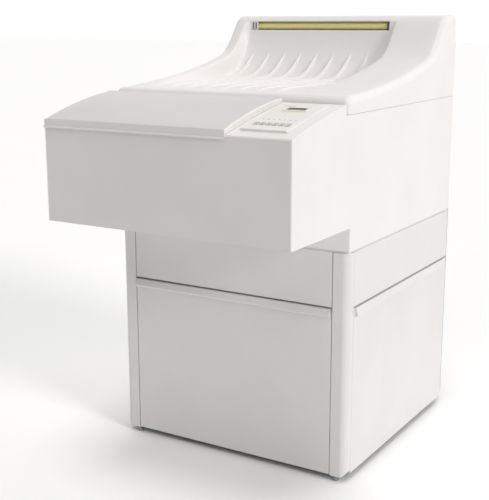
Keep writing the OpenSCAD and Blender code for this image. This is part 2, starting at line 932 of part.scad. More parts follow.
module rib_outline() {
    c = [back_y - flat_top_d - tray_r, seam_z + tray_floor_h + tray_r];
    a_end = -acos((rib_y[1] - c[0]) / tray_r);
    polygon(concat([[rib_y[0], c[1] - tray_r - 1], [c[0], c[1] - tray_r - 1]],
        arc(c, tray_r + 1, -90, a_end, 16),
        arc(c, tray_r - rib_h, a_end - 3, -90, 16),
        [[rib_y[0] + 60, c[1] - tray_r + rib_h * 0.6]]));
}

module top_cover() {
    w = wall_t;
    scoop_x = [-half_w + cheek_left_w, half_w - cheek_right_w];
    slot_z = [top_z - slot_drop - slot_h, top_z - slot_drop];
    slot_x = [scoop_x[0] + 12, scoop_x[0] + 12 + slot_w];
    slot_y = back_y - flat_top_d;
    color("#efede9")
        difference() {
            union() {
                difference() {
                    along_x([-half_w, half_w])
                        cover_outline();
                    along_x(scoop_x)
                        tray_space();
                    difference() {
                        along_x([-half_w + w, half_w - w])
                            intersection() {
                                translate([w, -w])
                                    cover_outline();
                                area([body_y - cover_lead + w, back_y - w], [seam_z - 2 * w, top_z - w]);
                            }
                        along_x([scoop_x[0] - w, scoop_x[1] + w])
                            translate([w, -w])
                                tray_space();
                    }
                }
                for (i = [0:rib_n - 1])
                    along_x([rib_first_x + i * rib_pitch - rib_t / 2, rib_first_x + i * rib_pitch + rib_t / 2])
                        rib_outline();
            }
            block(slot_x, [slot_y - 30, slot_y + 3 * w], slot_z);
        }
}

// Tanks and racks

module drain_holes(z, h) {
    for (y = [developer_y, fixer_y, wash_y])
        translate([tank_x[1] - 30, y, z])
            cylinder(r = drain_r + 2 * seat_gap, h = h);
}

module tank_block() {
    z = [tank_z, tank_z + tank_h];
    color("#8f979c") {
        difference() {
            block(tank_x, [tank_y, tank_back_y], z);
            for (cell = [[developer_y, developer_l], [fixer_y, fixer_l], [wash_y, wash_l]])
                block([tank_x[0] + tank_t, tank_x[1] - tank_t],
                    [cell[0] - cell[1] / 2, cell[0] + cell[1] / 2], [z[0] + tank_t, z[1] + 1]);
            drain_bores();
        }
        // Drain pipes through the deck, and feet on the base pan
        difference() {
            for (y = [developer_y, fixer_y, wash_y])
                translate([tank_x[1] - 30, y, deck_z - drain_drop])
                    cylinder(r = drain_r, h = drain_drop + tank_z - deck_z + 1);
            drain_bores();
        }
        for (x = [tank_x[0], tank_x[1] - 12], y = [tank_y, tank_back_y - 12])
            block([x, x + 12], [y, y + 12], [deck_z + wall_t, tank_z]);
    }
}

module drain_bores() {
    for (y = [developer_y, fixer_y, wash_y])
        translate([tank_x[1] - 30, y, deck_z - drain_drop - 1])
            cylinder(r = drain_r - 2.5, h = drain_drop + tank_z - deck_z + tank_t + 2);
}

rack_top_z = drive_z + 20;

// A rack: two side plates and tie bars. The film dives in front of the turn roller and rises behind it
module rack(mid_y, cell_l) {
    half = cell_l / 2 - rack_side_room;
    z = [tank_z + tank_t, rack_top_z];
    difference() {
        union() {
            for (x = [path_mid - rack_out, path_mid + rack_in])
                block([x, x + rack_t], [mid_y - half, mid_y + half], z);
            for (side = [-1, 1], bz = [turn_z + 50, tank_z + tank_h - 30])
                rod([path_mid - rack_out + 1, path_mid + rack_out - 1], mid_y + side * (half - 7), bz, 4);
        }
        rod([path_mid - rack_out - 1, path_mid + rack_out + 1], mid_y, turn_z, shaft_r + run_fit);
        rod([path_mid - rack_out - 1, path_mid + rack_out + 1], drive_y(mid_y), drive_z, shaft_r + run_fit);
    }
}

function drive_y(mid_y) = mid_y + turn_r + roller_r - 4;

module developer_rack() {
    color("#6f7c86")
        rack(developer_y, developer_l);
}

module fixer_rack() {
    color("#6f7c86")
        rack(fixer_y, fixer_l);
}

module wash_rack() {
    color("#6f7c86")
        rack(wash_y, wash_l);
}

// Two side plates behind the tanks that carry the squeegee, the dryer tubes and the exit rollers
tube_z = [seam_z + 36, seam_z + 66];
film_up_y = exit_front_y + exit_step / 2;
tube_front_y = [film_up_y - 38, film_up_y - 8];
tube_back_y = [film_up_y + 8, back_y - wall_t - 4];

module exit_plate_outline() {
    y0 = squeegee_y - 15;
    y1 = back_y - 2 * wall_t - 1;
    polygon([[y0, drive_z - 16], [tank_back_y + 2, drive_z - 16], [tank_back_y + 2, deck_z + wall_t],
        [y1, deck_z + wall_t], [y1, exit_z + exit_r + 1], [back_y - flat_top_d + 2 * wall_t, exit_z + exit_r + 1],
        [back_y - flat_top_d - 6, exit_z - 55], [back_y - flat_top_d - 32, exit_z - 95],
        [y0, seam_z + 32]]);
}

module exit_frame() {
    x = [path_mid - rack_out, path_mid + rack_in];
    color("#6f7c86")
        difference() {
            union() {
                for (px = x)
                    along_x([px, px + rack_t])
                        exit_plate_outline();
                for (p = [[back_y - 40, deck_z + 60], [back_y - 40, seam_z - 40]])
                    rod([x[0] + 1, x[1] + rack_t - 1], p[0], p[1], 5);
            }
            for (p = [[squeegee_y, drive_z], [squeegee_y, drive_z + nip_step],
                    [exit_front_y, exit_z], [exit_front_y + exit_step, exit_z]])
                rod([x[0] - 1, x[1] + rack_t + 1], p[0], p[1], shaft_r + run_fit);
            for (y = [tube_front_y, tube_back_y])
                block([x[0] - 1, x[0] + rack_t + 1], [y[0] - seat_gap, y[1] + seat_gap],
                    [tube_z[0] - seat_gap, tube_z[1] + seat_gap]);
            // Lets air reach the blower's intake
            rod([x[0] - 1, x[0] + rack_t + 1], blower_y, blower_z, intake_r + 4);
        }
}

// Rollers

// A roller lies along X: its face, a shaft through both side plates and, if driven, belt pulleys
module roller(y, z, r, pulleys = []) {
    far = len(pulleys) == 0 ? path_mid + rack_out + shaft_end
        : max([for (p = pulleys) p]) + belt_w + shaft_end;
    rod([path_mid - roller_l / 2, path_mid + roller_l / 2], y, z, r);
    rod([path_mid - rack_out - shaft_end, far], y, z, shaft_r);
    for (p = pulleys)
        rod([p, p + belt_w], y, z, pulley_r - seat_gap);
}

module feed_roller_lower() {
    color("#5f6468")
        roller(feed_roller_y, drive_z, roller_r, [belt_x]);
}

module feed_roller_upper() {
    color("#5f6468")
        roller(feed_roller_y, drive_z + nip_step, roller_r);
}

module developer_drive_roller() {
    color("#8a8f94")
        roller(drive_y(developer_y), drive_z, roller_r, [belt_x]);
}

module fixer_drive_roller() {
    color("#8a8f94")
        roller(drive_y(fixer_y), drive_z, roller_r, [belt_x]);
}

module wash_drive_roller() {
    color("#8a8f94")
        roller(drive_y(wash_y), drive_z, roller_r, [belt_x]);
}

module developer_turn_roller() {
    color("#8a8f94")
        roller(developer_y, turn_z, turn_r);
}

module fixer_turn_roller() {
    color("#8a8f94")
        roller(fixer_y, turn_z, turn_r);
}

module wash_turn_roller() {
    color("#8a8f94")
        roller(wash_y, turn_z, turn_r);
}

module squeegee_roller_lower() {
    color("#5f6468")
        roller(squeegee_y, drive_z, roller_r, [belt_x, exit_belt_x]);
}

module squeegee_roller_upper() {
    color("#5f6468")
        roller(squeegee_y, drive_z + nip_step, roller_r);
}

module exit_roller_front() {
    color("#d8cc86")
        roller(exit_front_y, exit_z, exit_r);
}

module exit_roller_rear() {
    color("#d8cc86")
        roller(exit_front_y + exit_step, exit_z, exit_r, [exit_belt_x]);
}

// Drive

module drive_motor() {
    x0 = exit_belt_x + belt_w + 6;
    color("#4f5356")
        difference() {
            union() {
                rod([x0, x0 + motor_face_t], motor_y, drive_z, motor_r);
                rod([x0 + motor_face_t, x0 + motor_face_t + motor_l], motor_y, drive_z, motor_r - 4);
                block([x0, x0 + 6], [motor_y - 20, motor_y + 20], [deck_z + wall_t, drive_z]);
            }
            rod([x0 - 1, x0 + 10], motor_y, drive_z, shaft_r + run_fit);
        }
}

module motor_pulley() {
    color("#9a9c9e") {
        rod([belt_x, belt_x + belt_w], motor_y, drive_z, pulley_r - seat_gap);
        rod([belt_x + belt_w - 1, exit_belt_x + belt_w + 6 + 8], motor_y, drive_z, shaft_r);
    }
}

module belt_loop(x, a, b) {
    far = norm(b - a);
    ang = atan2(b[1] - a[1], b[0] - a[0]);
    translate([x, a[0], a[1]])
        rotate([90, 0, 90])
            rotate(ang)
                linear_extrude(belt_w)
                    difference() {
                        belt_area(pulley_r + belt_t, far);
                        belt_area(pulley_r, far);
                    }
}

module belt_area(r, far) {
    circle(r = r);
    translate([far, 0])
        circle(r = r);
    translate([0, -r])
        square([far, 2 * r]);
}

module drive_belts() {
    color("#2f3032") {
        belt_loop(belt_x, [feed_roller_y, drive_z], [squeegee_y, drive_z]);
        belt_loop(exit_belt_x, [squeegee_y, drive_z], [exit_front_y + exit_step, exit_z]);
    }
}

// Dryer

blower_x = [-half_w + wall_t + 4, path_mid - rack_out - 3];
blower_y = back_y - wall_t - 56;
blower_z = deck_z + 120;
blower_r = 48;
wheel_r = 38;
intake_r = 22;

module dryer_tubes() {
    x = [blower_x[1], path_mid + rack_in - 2];
    color("#a9acae")
        for (y = [tube_front_y, tube_back_y])
            difference() {
                block(x, y, tube_z);
                block([x[0] - 1, x[1] - 1.5], [y[0] + 1.5, y[1] - 1.5], [tube_z[0] + 1.5, tube_z[1] - 1.5]);
                // Air slots that face the film
                for (i = [0:8])
                    block([x[0] + 30 + 40 * i, x[0] + 55 + 40 * i],
                        y[0] < film_up_y - 20 ? [y[1] - 4, y[1] + 1] : [y[0] - 1, y[0] + 4],
                        [tube_z[0] + 12, tube_z[0] + 18]);
            }
}

module dryer_blower() {
    y = [tube_front_y[0], tube_back_y[1]];
    t = 2;
    color("#7d8184")
        difference() {
            union() {
                rod(blower_x, blower_y, blower_z, blower_r);
                block(blower_x, y, [blower_z, tube_z[1]]);
                block(blower_x, [blower_y - 30, blower_y + 30], [deck_z + wall_t, blower_z]);
            }
            rod([blower_x[0] + t, blower_x[1] - t], blower_y, blower_z, blower_r - t);
            block([blower_x[0] + t, blower_x[1] - t], [y[0] + t, y[1] - t], [blower_z, tube_z[1] - t]);
            // Outlets into the two dryer tubes
            for (ty = [tube_front_y, tube_back_y])
                block([blower_x[1] - t - 1, blower_x[1] + 1], [ty[0] + t, ty[1] - t], [tube_z[0] + t, tube_z[1] - t]);
            // Air intake
            rod([blower_x[1] - t - 1, blower_x[1] + 1], blower_y, blower_z, intake_r);
            rod([blower_x[0] - 1, blower_x[0] + t + 1], blower_y, blower_z, 3 + run_fit);
        }
}

module blower_wheel() {
    x = [blower_x[0] + 5, blower_x[1] - 5];
    blades = 12;
    color("#3b3d3f") {
        rod([x[0], x[0] + 2], blower_y, blower_z, wheel_r);
        rod([blower_x[0], x[1] - 2], blower_y, blower_z, 3);
        rod([x[0], x[1] - 8], blower_y, blower_z, 10);
        difference() {
            rod(x, blower_y, blower_z, wheel_r);
            rod([x[0] - 1, x[1] + 1], blower_y, blower_z, wheel_r - 9);
            for (i = [0:blades - 1])
                translate([x[0] + 2, blower_y, blower_z])
                    rotate([360 / blades * i, 0, 0])
                        translate([0, wheel_r - 12, 1.5])
                            cube([x[1] - x[0] - 4, 15, 2 * PI * wheel_r / blades - 7]);
        }
    }
}

// Electronics

module control_board() {
    x = half_w - wall_t;
    y = [body_y + 120, body_y + 300];
    z = [deck_z + 60, deck_z + 190];
    color("#3d6b4c") {
        block([x - 12, x - 10], y, z);
        for (py = [y[0] + 10, y[1] - 10], pz = [z[0] + 10, z[1] - 10])
            rod([x - 10, x], py, pz, 4);
        block([x - 38, x - 12], [y[0] + 20, y[0] + 70], [z[0] + 15, z[0] + 55]);
        block([x - 24, x - 12], [y[0] + 90, y[0] + 150], [z[0] + 60, z[0] + 100]);
    }
}

module mains_inlet() {
    x = [inlet_x, inlet_x + inlet_w];
    z = [inlet_z, inlet_z + inlet_h];
    deep = 22;
    color("#2b2b2d") {
        difference() {
            block([x[0] + seat_gap, x[1] - seat_gap], [back_y - deep, back_y], [z[0] + seat_gap, z[1] - seat_gap]);
            block([x[0] + 4, x[1] - 4], [back_y - deep + 4, back_y + 1], [z[0] + 4, z[1] - 4]);
        }
        for (p = [[-7, 9], [0, 15], [7, 9]])
            block([(x[0] + x[1]) / 2 + p[0] - 1, (x[0] + x[1]) / 2 + p[0] + 1],
                [back_y - deep + 3, back_y - 6], [z[0] + p[1] - 2, z[0] + p[1] + 2]);
    }
}

front_post_left();
front_post_right();
rear_posts();
base_tray();
top_deck();
upper_front_panel();
upper_left_panel();
upper_right_panel();
stand_back_panel();
front_door();
left_door();
right_door();
levelling_feet();
developer_bottle();
fixer_bottle();
supply_hoses();
base_pan();
left_side_panel();
right_side_panel();
body_back_panel();
front_bulkhead();
feed_housing();
feed_deck();
feed_tray();
control_plate();
display_window();
key_cap(0);  // key_1
key_cap(1);  // key_2
key_cap(2);  // key_3
key_cap(3);  // key_4
key_cap(4);  // key_5
key_cap(5);  // key_6
feed_lid();
lid_hinge_pins();
top_cover();
tank_block();
developer_rack();
fixer_rack();
wash_rack();
exit_frame();
feed_roller_lower();
feed_roller_upper();
developer_drive_roller();
fixer_drive_roller();
wash_drive_roller();
developer_turn_roller();
fixer_turn_roller();
wash_turn_roller();
squeegee_roller_lower();
squeegee_roller_upper();
exit_roller_front();
exit_roller_rear();
drive_motor();
motor_pulley();
drive_belts();
dryer_tubes();
dryer_blower();
blower_wheel();
control_board();
mains_inlet();
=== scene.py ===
# %% [markdown]
# # A floor-standing x-ray film processor
# The machine is already built as exact solids, packed as a frame of named nodes that
# ride on named bodies. A node is right in size and place, but its edges are knife sharp
# and its colour is flat. This lesson gives moulded covers their fillets, sheet metal the
# small radius of a folding press, and every surface a finish. A node could be moved to
# taste, but then nothing would turn on its hinges, so each new piece is made in place.

# %% Load the frame
import json
import math

import bmesh
import bpy
from mathutils import Matrix, Quaternion, Vector


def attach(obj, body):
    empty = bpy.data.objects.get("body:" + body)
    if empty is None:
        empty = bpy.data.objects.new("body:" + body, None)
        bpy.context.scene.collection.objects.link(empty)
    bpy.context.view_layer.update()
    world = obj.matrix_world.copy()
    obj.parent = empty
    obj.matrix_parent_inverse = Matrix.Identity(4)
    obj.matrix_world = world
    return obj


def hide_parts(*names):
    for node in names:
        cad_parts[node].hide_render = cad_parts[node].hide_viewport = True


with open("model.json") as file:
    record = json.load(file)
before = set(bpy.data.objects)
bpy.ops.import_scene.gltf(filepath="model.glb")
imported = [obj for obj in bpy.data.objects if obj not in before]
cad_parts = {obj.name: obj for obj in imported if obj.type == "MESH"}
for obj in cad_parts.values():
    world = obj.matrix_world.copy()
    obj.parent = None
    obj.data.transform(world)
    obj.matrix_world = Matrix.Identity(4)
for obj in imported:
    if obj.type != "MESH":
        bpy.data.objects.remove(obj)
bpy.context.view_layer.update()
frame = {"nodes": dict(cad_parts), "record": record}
nodes = frame["nodes"]
BODY_OF = {node: body for body, members in frame["record"]["behaviour"]["bodies"].items()
           for node in members}
SLOT_OF = {part["node"]: part["material_slot"] for part in frame["record"]["subparts"]}

# %% [markdown]
# ## Camera
# The camera stands in front of the machine's right corner. It could be dragged there by
# eye. Working it out from the picture's vanishing lines is surer: 31 degrees round from
# the front, 13 degrees down, and a short telephoto lens.

# %% Place the camera
TURN, PITCH, ROLL = (math.radians(angle) for angle in (31.35, 12.99, -0.13))
view = Vector((-math.sin(TURN) * math.cos(PITCH),
               math.cos(TURN) * math.cos(PITCH), -math.sin(PITCH)))
bpy.ops.object.camera_add(location=(1.170, -2.0163, 1.0020))
camera = bpy.context.object
camera.name = "camera"
camera.rotation_mode = "QUATERNION"
camera.rotation_quaternion = view.to_track_quat("-Z", "Y") @ Quaternion((0, 0, 1), ROLL)
camera.data.sensor_fit = "VERTICAL"
camera.data.sensor_height = 36
camera.data.lens = 71.92
bpy.context.scene.camera = camera
print("camera looks along", [round(a, 3) for a in view])

# %% [markdown]
# ## Colours and nodes
# Paint charts and screens give colours as sRGB hex values, while the renderer adds
# light in linear numbers. One function turns the first into the second. A material is a
# small graph, which a hand would click together in the shader editor. In code one
# function adds a node, sets it and links it. Every pattern is drawn by the place in the
# machine, in metres.

# %% Helpers for materials
MM = 0.001


def linear(hex_colour):
    """The linear RGBA of an sRGB hex colour."""
    parts = [int(hex_colour[i:i + 2], 16) / 255 for i in (1, 3, 5)]
    return [p / 12.92 if p <= 0.04045 else ((p + 0.055) / 1.055) ** 2.4 for p in parts] + [1]


def feed(tree, node, inputs):
    """Sets a node's inputs, each to a value or to a socket to link from."""
    for key, value in inputs.items():
        if isinstance(value, bpy.types.NodeSocket):
            tree.links.new(value, node.inputs[key])
        else:
            node.inputs[key].default_value = value


def add(tree, kind, inputs=None, **settings):
    """Adds a node with its inputs and settings."""
    node = tree.nodes.new(kind)
    for key, value in settings.items():
        setattr(node, key, value)
    feed(tree, node, inputs or {})
    return node


def new_material(name, shader):
    """A material, its tree, its shader with these inputs, and the place to draw by."""
    material = bpy.data.materials.new(name)
    material.use_nodes = True
    tree = material.node_tree
    tree.nodes.clear()
    surface = add(tree, "ShaderNodeBsdfPrincipled", shader)
    add(tree, "ShaderNodeOutputMaterial", {"Surface": surface.outputs[0]})
    return material, tree, surface, add(tree, "ShaderNodeTexCoord").outputs["Object"]


print("off-white #EDEAE8 is", [round(v, 3) for v in linear("#EDEAE8")[:3]], "in linear light")

# %% [markdown]
# ## Floor and light
# Product pictures are taken on seamless paper, hung in a curve. In the picture it is
# cleared to white, so a large flat sheet does. It is rough and mirrors nothing.

# %% Paper floor
bpy.ops.mesh.primitive_plane_add(size=80)
floor = bpy.context.object
floor.name = "studio_floor"
paper, tree, surface, where = new_material("seamless_paper", {"Roughness": 0.9})
fibre = add(tree, "ShaderNodeTexNoise", {"Vector": where, "Scale": 3.0, "Detail": 4})
tone = add(tree, "ShaderNodeMix", {"Factor": fibre.outputs["Fac"], "A": linear("#FCFCFB"),
                                   "B": linear("#FEFEFD")}, data_type="RGBA")
feed(tree, surface, {"Base Color": tone.outputs["Result"]})
floor.data.materials.append(paper)
print("floor:", floor.dimensions[0], "m wide")

# %% [markdown]
# White machines are lit by large soft lamps in a white room. Area lamps close by would
# leave the floor bright in one place. A sun with a wide disc gives the same soft shadow
# everywhere. One such lamp stands low at the right and makes the right side nearly
# white. One hangs overhead, so a top is brighter than an upright front. One high in front
# brings out the lower half of the door, and a faint one lifts the shadow under the feed
# unit. The world is the room: its far wall is white and the rest dim. A camera that looks
# at any wall sees white.

# %% Lamps and room
# Name, power, colour, and in degrees: disc, turn from the front, height over the floor.
LAMPS = [("lamp_right", 1.32, (1.0, 0.985, 0.975), 18, 76, 24),
         ("lamp_overhead", 1.06, (1.0, 0.99, 0.985), 24, 14, 84),
         ("lamp_high_front", 0.60, (1.0, 0.99, 0.985), 40, 10, 50),
         ("lamp_front", 0.08, (0.985, 0.985, 1.0), 60, -10, 12)]
for name, power, colour, disc, turn, up in LAMPS:
    turn, up = math.radians(turn), math.radians(up)
    beam = Vector((math.sin(turn) * math.cos(up), -math.cos(turn) * math.cos(up), math.sin(up)))
    bpy.ops.object.light_add(type="SUN", location=beam * 5)
    lamp = bpy.context.object
    lamp.name = name
    lamp.data.energy, lamp.data.angle, lamp.data.color = power, math.radians(disc), colour
    lamp.rotation_mode = "QUATERNION"
    lamp.rotation_quaternion = (-beam).to_track_quat("-Z", "Y")

ROOM_DIM, ROOM_WHITE = 0.09, 1.04
world = bpy.data.worlds.new("white_room")
world.use_nodes = True
room = world.node_tree
towards_room = add(room, "ShaderNodeTexCoord").outputs["Generated"]
way = add(room, "ShaderNodeSeparateXYZ", {"Vector": towards_room})
depth = add(room, "ShaderNodeMapRange", {
    "Value": way.outputs["Y"], "From Min": 0.1, "From Max": 0.62,
    "To Min": ROOM_DIM, "To Max": ROOM_WHITE})
straight = add(room, "ShaderNodeLightPath").outputs["Is Camera Ray"]
seen = add(room, "ShaderNodeMix", {"Factor": straight, "A": depth.outputs[0],
                                   "B": ROOM_WHITE}, data_type="FLOAT")
feed(room, room.nodes["Background"], {"Color": (0.985, 0.985, 1.0, 1),
                                      "Strength": seen.outputs[0]})
bpy.context.scene.world = world
bpy.context.scene.view_settings.view_transform = "Standard"
print("lamps:", len(LAMPS), "room from", ROOM_DIM, "to", ROOM_WHITE)

# %% [markdown]
# ## Moulded plastics
# Housings of such machines are moulded in ABS or in structural foam and then sprayed, so
# they are off-white, a little glossy, and finely textured. A picture of plastic could be
# wrapped round the piece, but a procedural grain has no seams. Real spray has a grain of
# 0.5 mm. Here it is 2 mm, about one pixel of the picture. A slow change of tone over a
# hand's width stands for handling and ageing.

# %% One recipe for all smooth moulded and sprayed surfaces
PATCH_MM = 160


def coated(name, light, dark, roughness, grain_mm, depth_mm, ior=1.5, more=()):
    """A coat with a fine grain, drawn grain_mm wide, and patches of two near tones."""
    material, tree, surface, where = new_material(name, {"IOR": ior, **dict(more)})
    patches = add(tree, "ShaderNodeTexNoise", {
        "Vector": where, "Scale": 1 / (PATCH_MM * MM), "Detail": 3, "Roughness": 0.55})
    spread = add(tree, "ShaderNodeMapRange", {
        "Value": patches.outputs["Fac"], "From Min": 0.35, "From Max": 0.65})
    tone = add(tree, "ShaderNodeMix", {
        "Factor": spread.outputs[0], "A": linear(light), "B": linear(dark)}, data_type="RGBA")
    grain = add(tree, "ShaderNodeTexNoise", {
        "Vector": where, "Scale": 1 / (grain_mm * MM), "Detail": 2, "Roughness": 0.6})
    relief = add(tree, "ShaderNodeBump", {
        "Height": grain.outputs["Fac"], "Strength": 0.6, "Distance": depth_mm * MM})
    gloss = add(tree, "ShaderNodeMapRange", {
        "Value": patches.outputs["Fac"], "From Min": 0.3, "From Max": 0.7,
        "To Min": roughness - 0.04, "To Max": roughness + 0.05})
    feed(tree, surface, {"Base Color": tone.outputs["Result"], "Normal": relief.outputs[0],
                         "Roughness": gloss.outputs[0]})
    return material


print("a patch of tone is about", PATCH_MM, "mm wide")

# %% [markdown]
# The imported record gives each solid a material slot, such as "tank_plastic". A table
# from slot to finish dresses every solid at once, and none can be forgotten. Each line
# has the material, its two tones, roughness, grain, depth and index of refraction.

# %% Coats by slot
COATS = {
    "housing_plastic": ("sprayed_abs_off_white", "#EDEAE8", "#EAE7E5", 0.42, 2.0, 0.05),
    "stand_powder_coat": ("powder_coated_steel_off_white", "#E2E0DE", "#DFDDDB", 0.38, 3.0, 0.07),
    "console_plastic": ("moulded_abs_light_grey", "#ECE9E5", "#E9E6E2", 0.5, 1.5, 0.03),
    "key_plastic": ("silicone_keypad_grey", "#C9CAC8", "#C2C4C2", 0.55, 1.5, 0.02),
    "tank_plastic": ("welded_pvc_grey", "#8D949A", "#838A90", 0.45, 4.0, 0.05, 1.53),
    "rack_plastic": ("moulded_polyphenylene_slate", "#5E6A74", "#56616B", 0.5, 3.0, 0.05, 1.52),
    "blower_plastic": ("moulded_nylon_grey", "#7B7F82", "#717578", 0.5, 3.0, 0.05, 1.53),
    "wheel_plastic": ("moulded_nylon_black", "#2E3032", "#27292B", 0.45, 3.0, 0.04, 1.53),
    "inlet_plastic": ("moulded_nylon_inlet_black", "#262628", "#202022", 0.4, 1.5, 0.03, 1.53),
    "motor_paint": ("stove_enamel_charcoal", "#3F4346", "#383C3F", 0.35, 3.0, 0.05),
    "foot_steel": ("zinc_plated_steel_grey", "#A3A4A6", "#949597", 0.55, 2.0, 0.05, 1.5,
                   {"Metallic": 0.4}),
    "bottle_plastic": ("blown_polyethylene_natural", "#EAE7DC", "#E2DFD2", 0.42, 6.0, 0.10, 1.54,
                       {"Subsurface Weight": 0.25, "Subsurface Radius": (0.02, 0.018, 0.012)}),
    "hose_plastic": ("clear_vinyl_hose", "#D3D6D4", "#C9CCCA", 0.3, 5.0, 0.05, 1.53,
                     {"Subsurface Weight": 0.2, "Subsurface Radius": (0.006, 0.006, 0.006)}),
    "board_laminate": ("glass_epoxy_laminate_green", "#3E7650", "#35694A", 0.35, 1.2, 0.04, 1.55),
    "belt_rubber": ("ribbed_neoprene_black", "#2A2B2C", "#232425", 0.65, 1.5, 0.08, 1.52),
}
FINISH = {slot: coated(*coat) for slot, coat in COATS.items()}
# Painted shade: the feed unit and its lid take a darker copy of the off-white sprayed ABS, so
# their upright front reads darker than the stand.
feed_coat_painted_shade = coated("sprayed_abs_feed_unit_painted_shade", "#D7D4D3", "#D4D1D0", 0.45, 2.0, 0.05)
print("moulded and sprayed finishes:", len(FINISH) + 1)

# %% [markdown]
# ## Bare sheet and rollers
# Galvanised sheet shows zinc crystals some 10 mm across. Noise with a hard step could
# do, but a Voronoi pattern gives their straight borders at once. Stainless sheet and
# drawn aluminium have a brushed grain: a noise stretched along one axis.

# %% Brushed metal and zinc


def brushed(name, light, dark, roughness, stretch, streak_mm=1.5):
    """Bare metal with streaks. stretch has a small number along the brushed axis."""
    material, tree, surface, where = new_material(name, {"Metallic": 1.0})
    along = add(tree, "ShaderNodeMapping", {"Vector": where, "Scale": stretch})
    streak = add(tree, "ShaderNodeTexNoise", {
        "Vector": along.outputs[0], "Scale": 1 / (streak_mm * MM), "Detail": 3})
    tone = add(tree, "ShaderNodeMix", {
        "Factor": streak.outputs["Fac"], "A": linear(light), "B": linear(dark)}, data_type="RGBA")
    gloss = add(tree, "ShaderNodeMapRange", {
        "Value": streak.outputs["Fac"], "To Min": roughness - 0.08, "To Max": roughness + 0.08})
    feed(tree, surface, {"Base Color": tone.outputs["Result"], "Roughness": gloss.outputs[0]})
    return material


BARE = {"tray_steel": ("brushed_stainless_steel", "#C9CACB", "#B3B5B6", 0.3, (0.04, 1, 1)),
        "tube_aluminium": ("drawn_aluminium", "#CDCFD0", "#BCBEC0", 0.38, (0.03, 1, 1)),
        "pin_steel": ("ground_steel_pin", "#BFC0C1", "#ABACAD", 0.25, (1, 1, 1), 2.0)}
FINISH.update({slot: brushed(*metal) for slot, metal in BARE.items()})

zinc, tree, surface, where = new_material("galvanised_sheet", {"Metallic": 1.0})
crystals = add(tree, "ShaderNodeTexVoronoi", {"Vector": where, "Scale": 1 / (11 * MM)})
shades = add(tree, "ShaderNodeSeparateColor", {"Color": crystals.outputs["Color"]})
tone = add(tree, "ShaderNodeMix", {"Factor": shades.outputs["Red"], "A": linear("#B9BDBF"),
                                   "B": linear("#CBCED0")}, data_type="RGBA")
gloss = add(tree, "ShaderNodeMapRange", {"Value": shades.outputs["Green"], "To Min": 0.36,
                                         "To Max": 0.55})
feed(tree, surface, {"Base Color": tone.outputs["Result"], "Roughness": gloss.outputs[0]})
FINISH["galvanised_sheet"] = zinc
print("bare metals:", len(BARE) + 1)

# %% [markdown]
# A roller is a rubber sleeve on a steel shaft in one solid. Two pieces for each roller
# would double the pieces for the same look, so the finish itself changes where the
# sleeve ends. Film wears a sleeve in rings round its axis.

# %% Sleeved rollers
SLEEVE_MIDDLE_MM, SLEEVE_HALF_MM = -50, 190.2


def sleeved(name, light, dark, roughness, depth_mm):
    """A sleeve on a ground steel shaft along X."""
    material, tree, surface, where = new_material(name, {})
    axis = add(tree, "ShaderNodeSeparateXYZ", {"Vector": where})
    off_middle = add(tree, "ShaderNodeMath", {
        0: axis.outputs["X"], 1: -SLEEVE_MIDDLE_MM * MM}, operation="ADD")
    distance = add(tree, "ShaderNodeMath", {0: off_middle.outputs[0]}, operation="ABSOLUTE")
    shaft = add(tree, "ShaderNodeMath", {
        0: distance.outputs[0], 1: SLEEVE_HALF_MM * MM}, operation="GREATER_THAN")
    rings = add(tree, "ShaderNodeMapping", {"Vector": where, "Scale": (1, 0.15, 0.15)})
    wear = add(tree, "ShaderNodeTexNoise", {
        "Vector": rings.outputs[0], "Scale": 1 / (5 * MM), "Detail": 3})
    sleeve = add(tree, "ShaderNodeMix", {
        "Factor": wear.outputs["Fac"], "A": linear(light), "B": linear(dark)}, data_type="RGBA")
    tone = add(tree, "ShaderNodeMix", {
        "Factor": shaft.outputs[0], "A": sleeve.outputs["Result"], "B": linear("#B4B6B8")},
        data_type="RGBA")
    gloss = add(tree, "ShaderNodeMapRange", {
        "Value": shaft.outputs[0], "To Min": roughness, "To Max": 0.28})
    relief = add(tree, "ShaderNodeBump", {
        "Height": wear.outputs["Fac"], "Strength": 0.5, "Distance": depth_mm * MM})
    feed(tree, surface, {"Base Color": tone.outputs["Result"], "Metallic": shaft.outputs[0],
                         "Roughness": gloss.outputs[0], "Normal": relief.outputs[0]})
    return material


SLEEVES = {
    "squeegee_rubber": ("nitrile_sleeve_dark_grey", "#55595D", "#4A4E52", 0.6, 0.08),
    "roller_plastic": ("phenolic_sleeve_grey", "#8C9196", "#7F8489", 0.35, 0.03),
    "exit_roller_rubber": ("polyurethane_sleeve_straw", "#FBF0A8", "#F5E89C", 0.32, 0.03),
}
FINISH.update({slot: sleeved(*sleeve) for slot, sleeve in SLEEVES.items()})
print("sleeve from", SLEEVE_MIDDLE_MM - SLEEVE_HALF_MM, "to", SLEEVE_MIDDLE_MM + SLEEVE_HALF_MM)

# %% [markdown]
# ## The display's window
# A liquid-crystal display of this age is a pane of smoked acrylic over a backlit cell. It
# could be a glowing picture, but in daylight only the dark pane shows, with faint cells.

# %% Smoked acrylic pane
pane, tree, surface, where = new_material("smoked_acrylic_pane", {"Roughness": 0.12,
                                                                  "IOR": 1.49})
cells = add(tree, "ShaderNodeTexBrick", {
    "Vector": where, "Scale": 1 / (12 * MM), "Color1": linear("#5B4A40"),
    "Color2": linear("#63513F"), "Mortar": linear("#46382F"), "Mortar Size": 0.04})
feed(tree, surface, {"Base Color": cells.outputs["Color"]})
FINISH["display_plastic"] = pane
print("finishes by slot:", len(FINISH))

# %% [markdown]
# Now every node takes the finish of its slot, even those that stay hidden inside. The feed unit's
# lid and housing instead take the darker copy of the off-white coat, which is painted shade.

# %% Finish every node
COAT_OF = {name: FINISH[SLOT_OF[name]] for name in nodes}
COAT_OF.update({"feed_lid": feed_coat_painted_shade, "feed_housing": feed_coat_painted_shade})
for name, piece in nodes.items():
    piece.data.materials.clear()
    piece.data.materials.append(COAT_OF[name])
print("every node has a finish:", all(n.data.materials for n in nodes.values()))

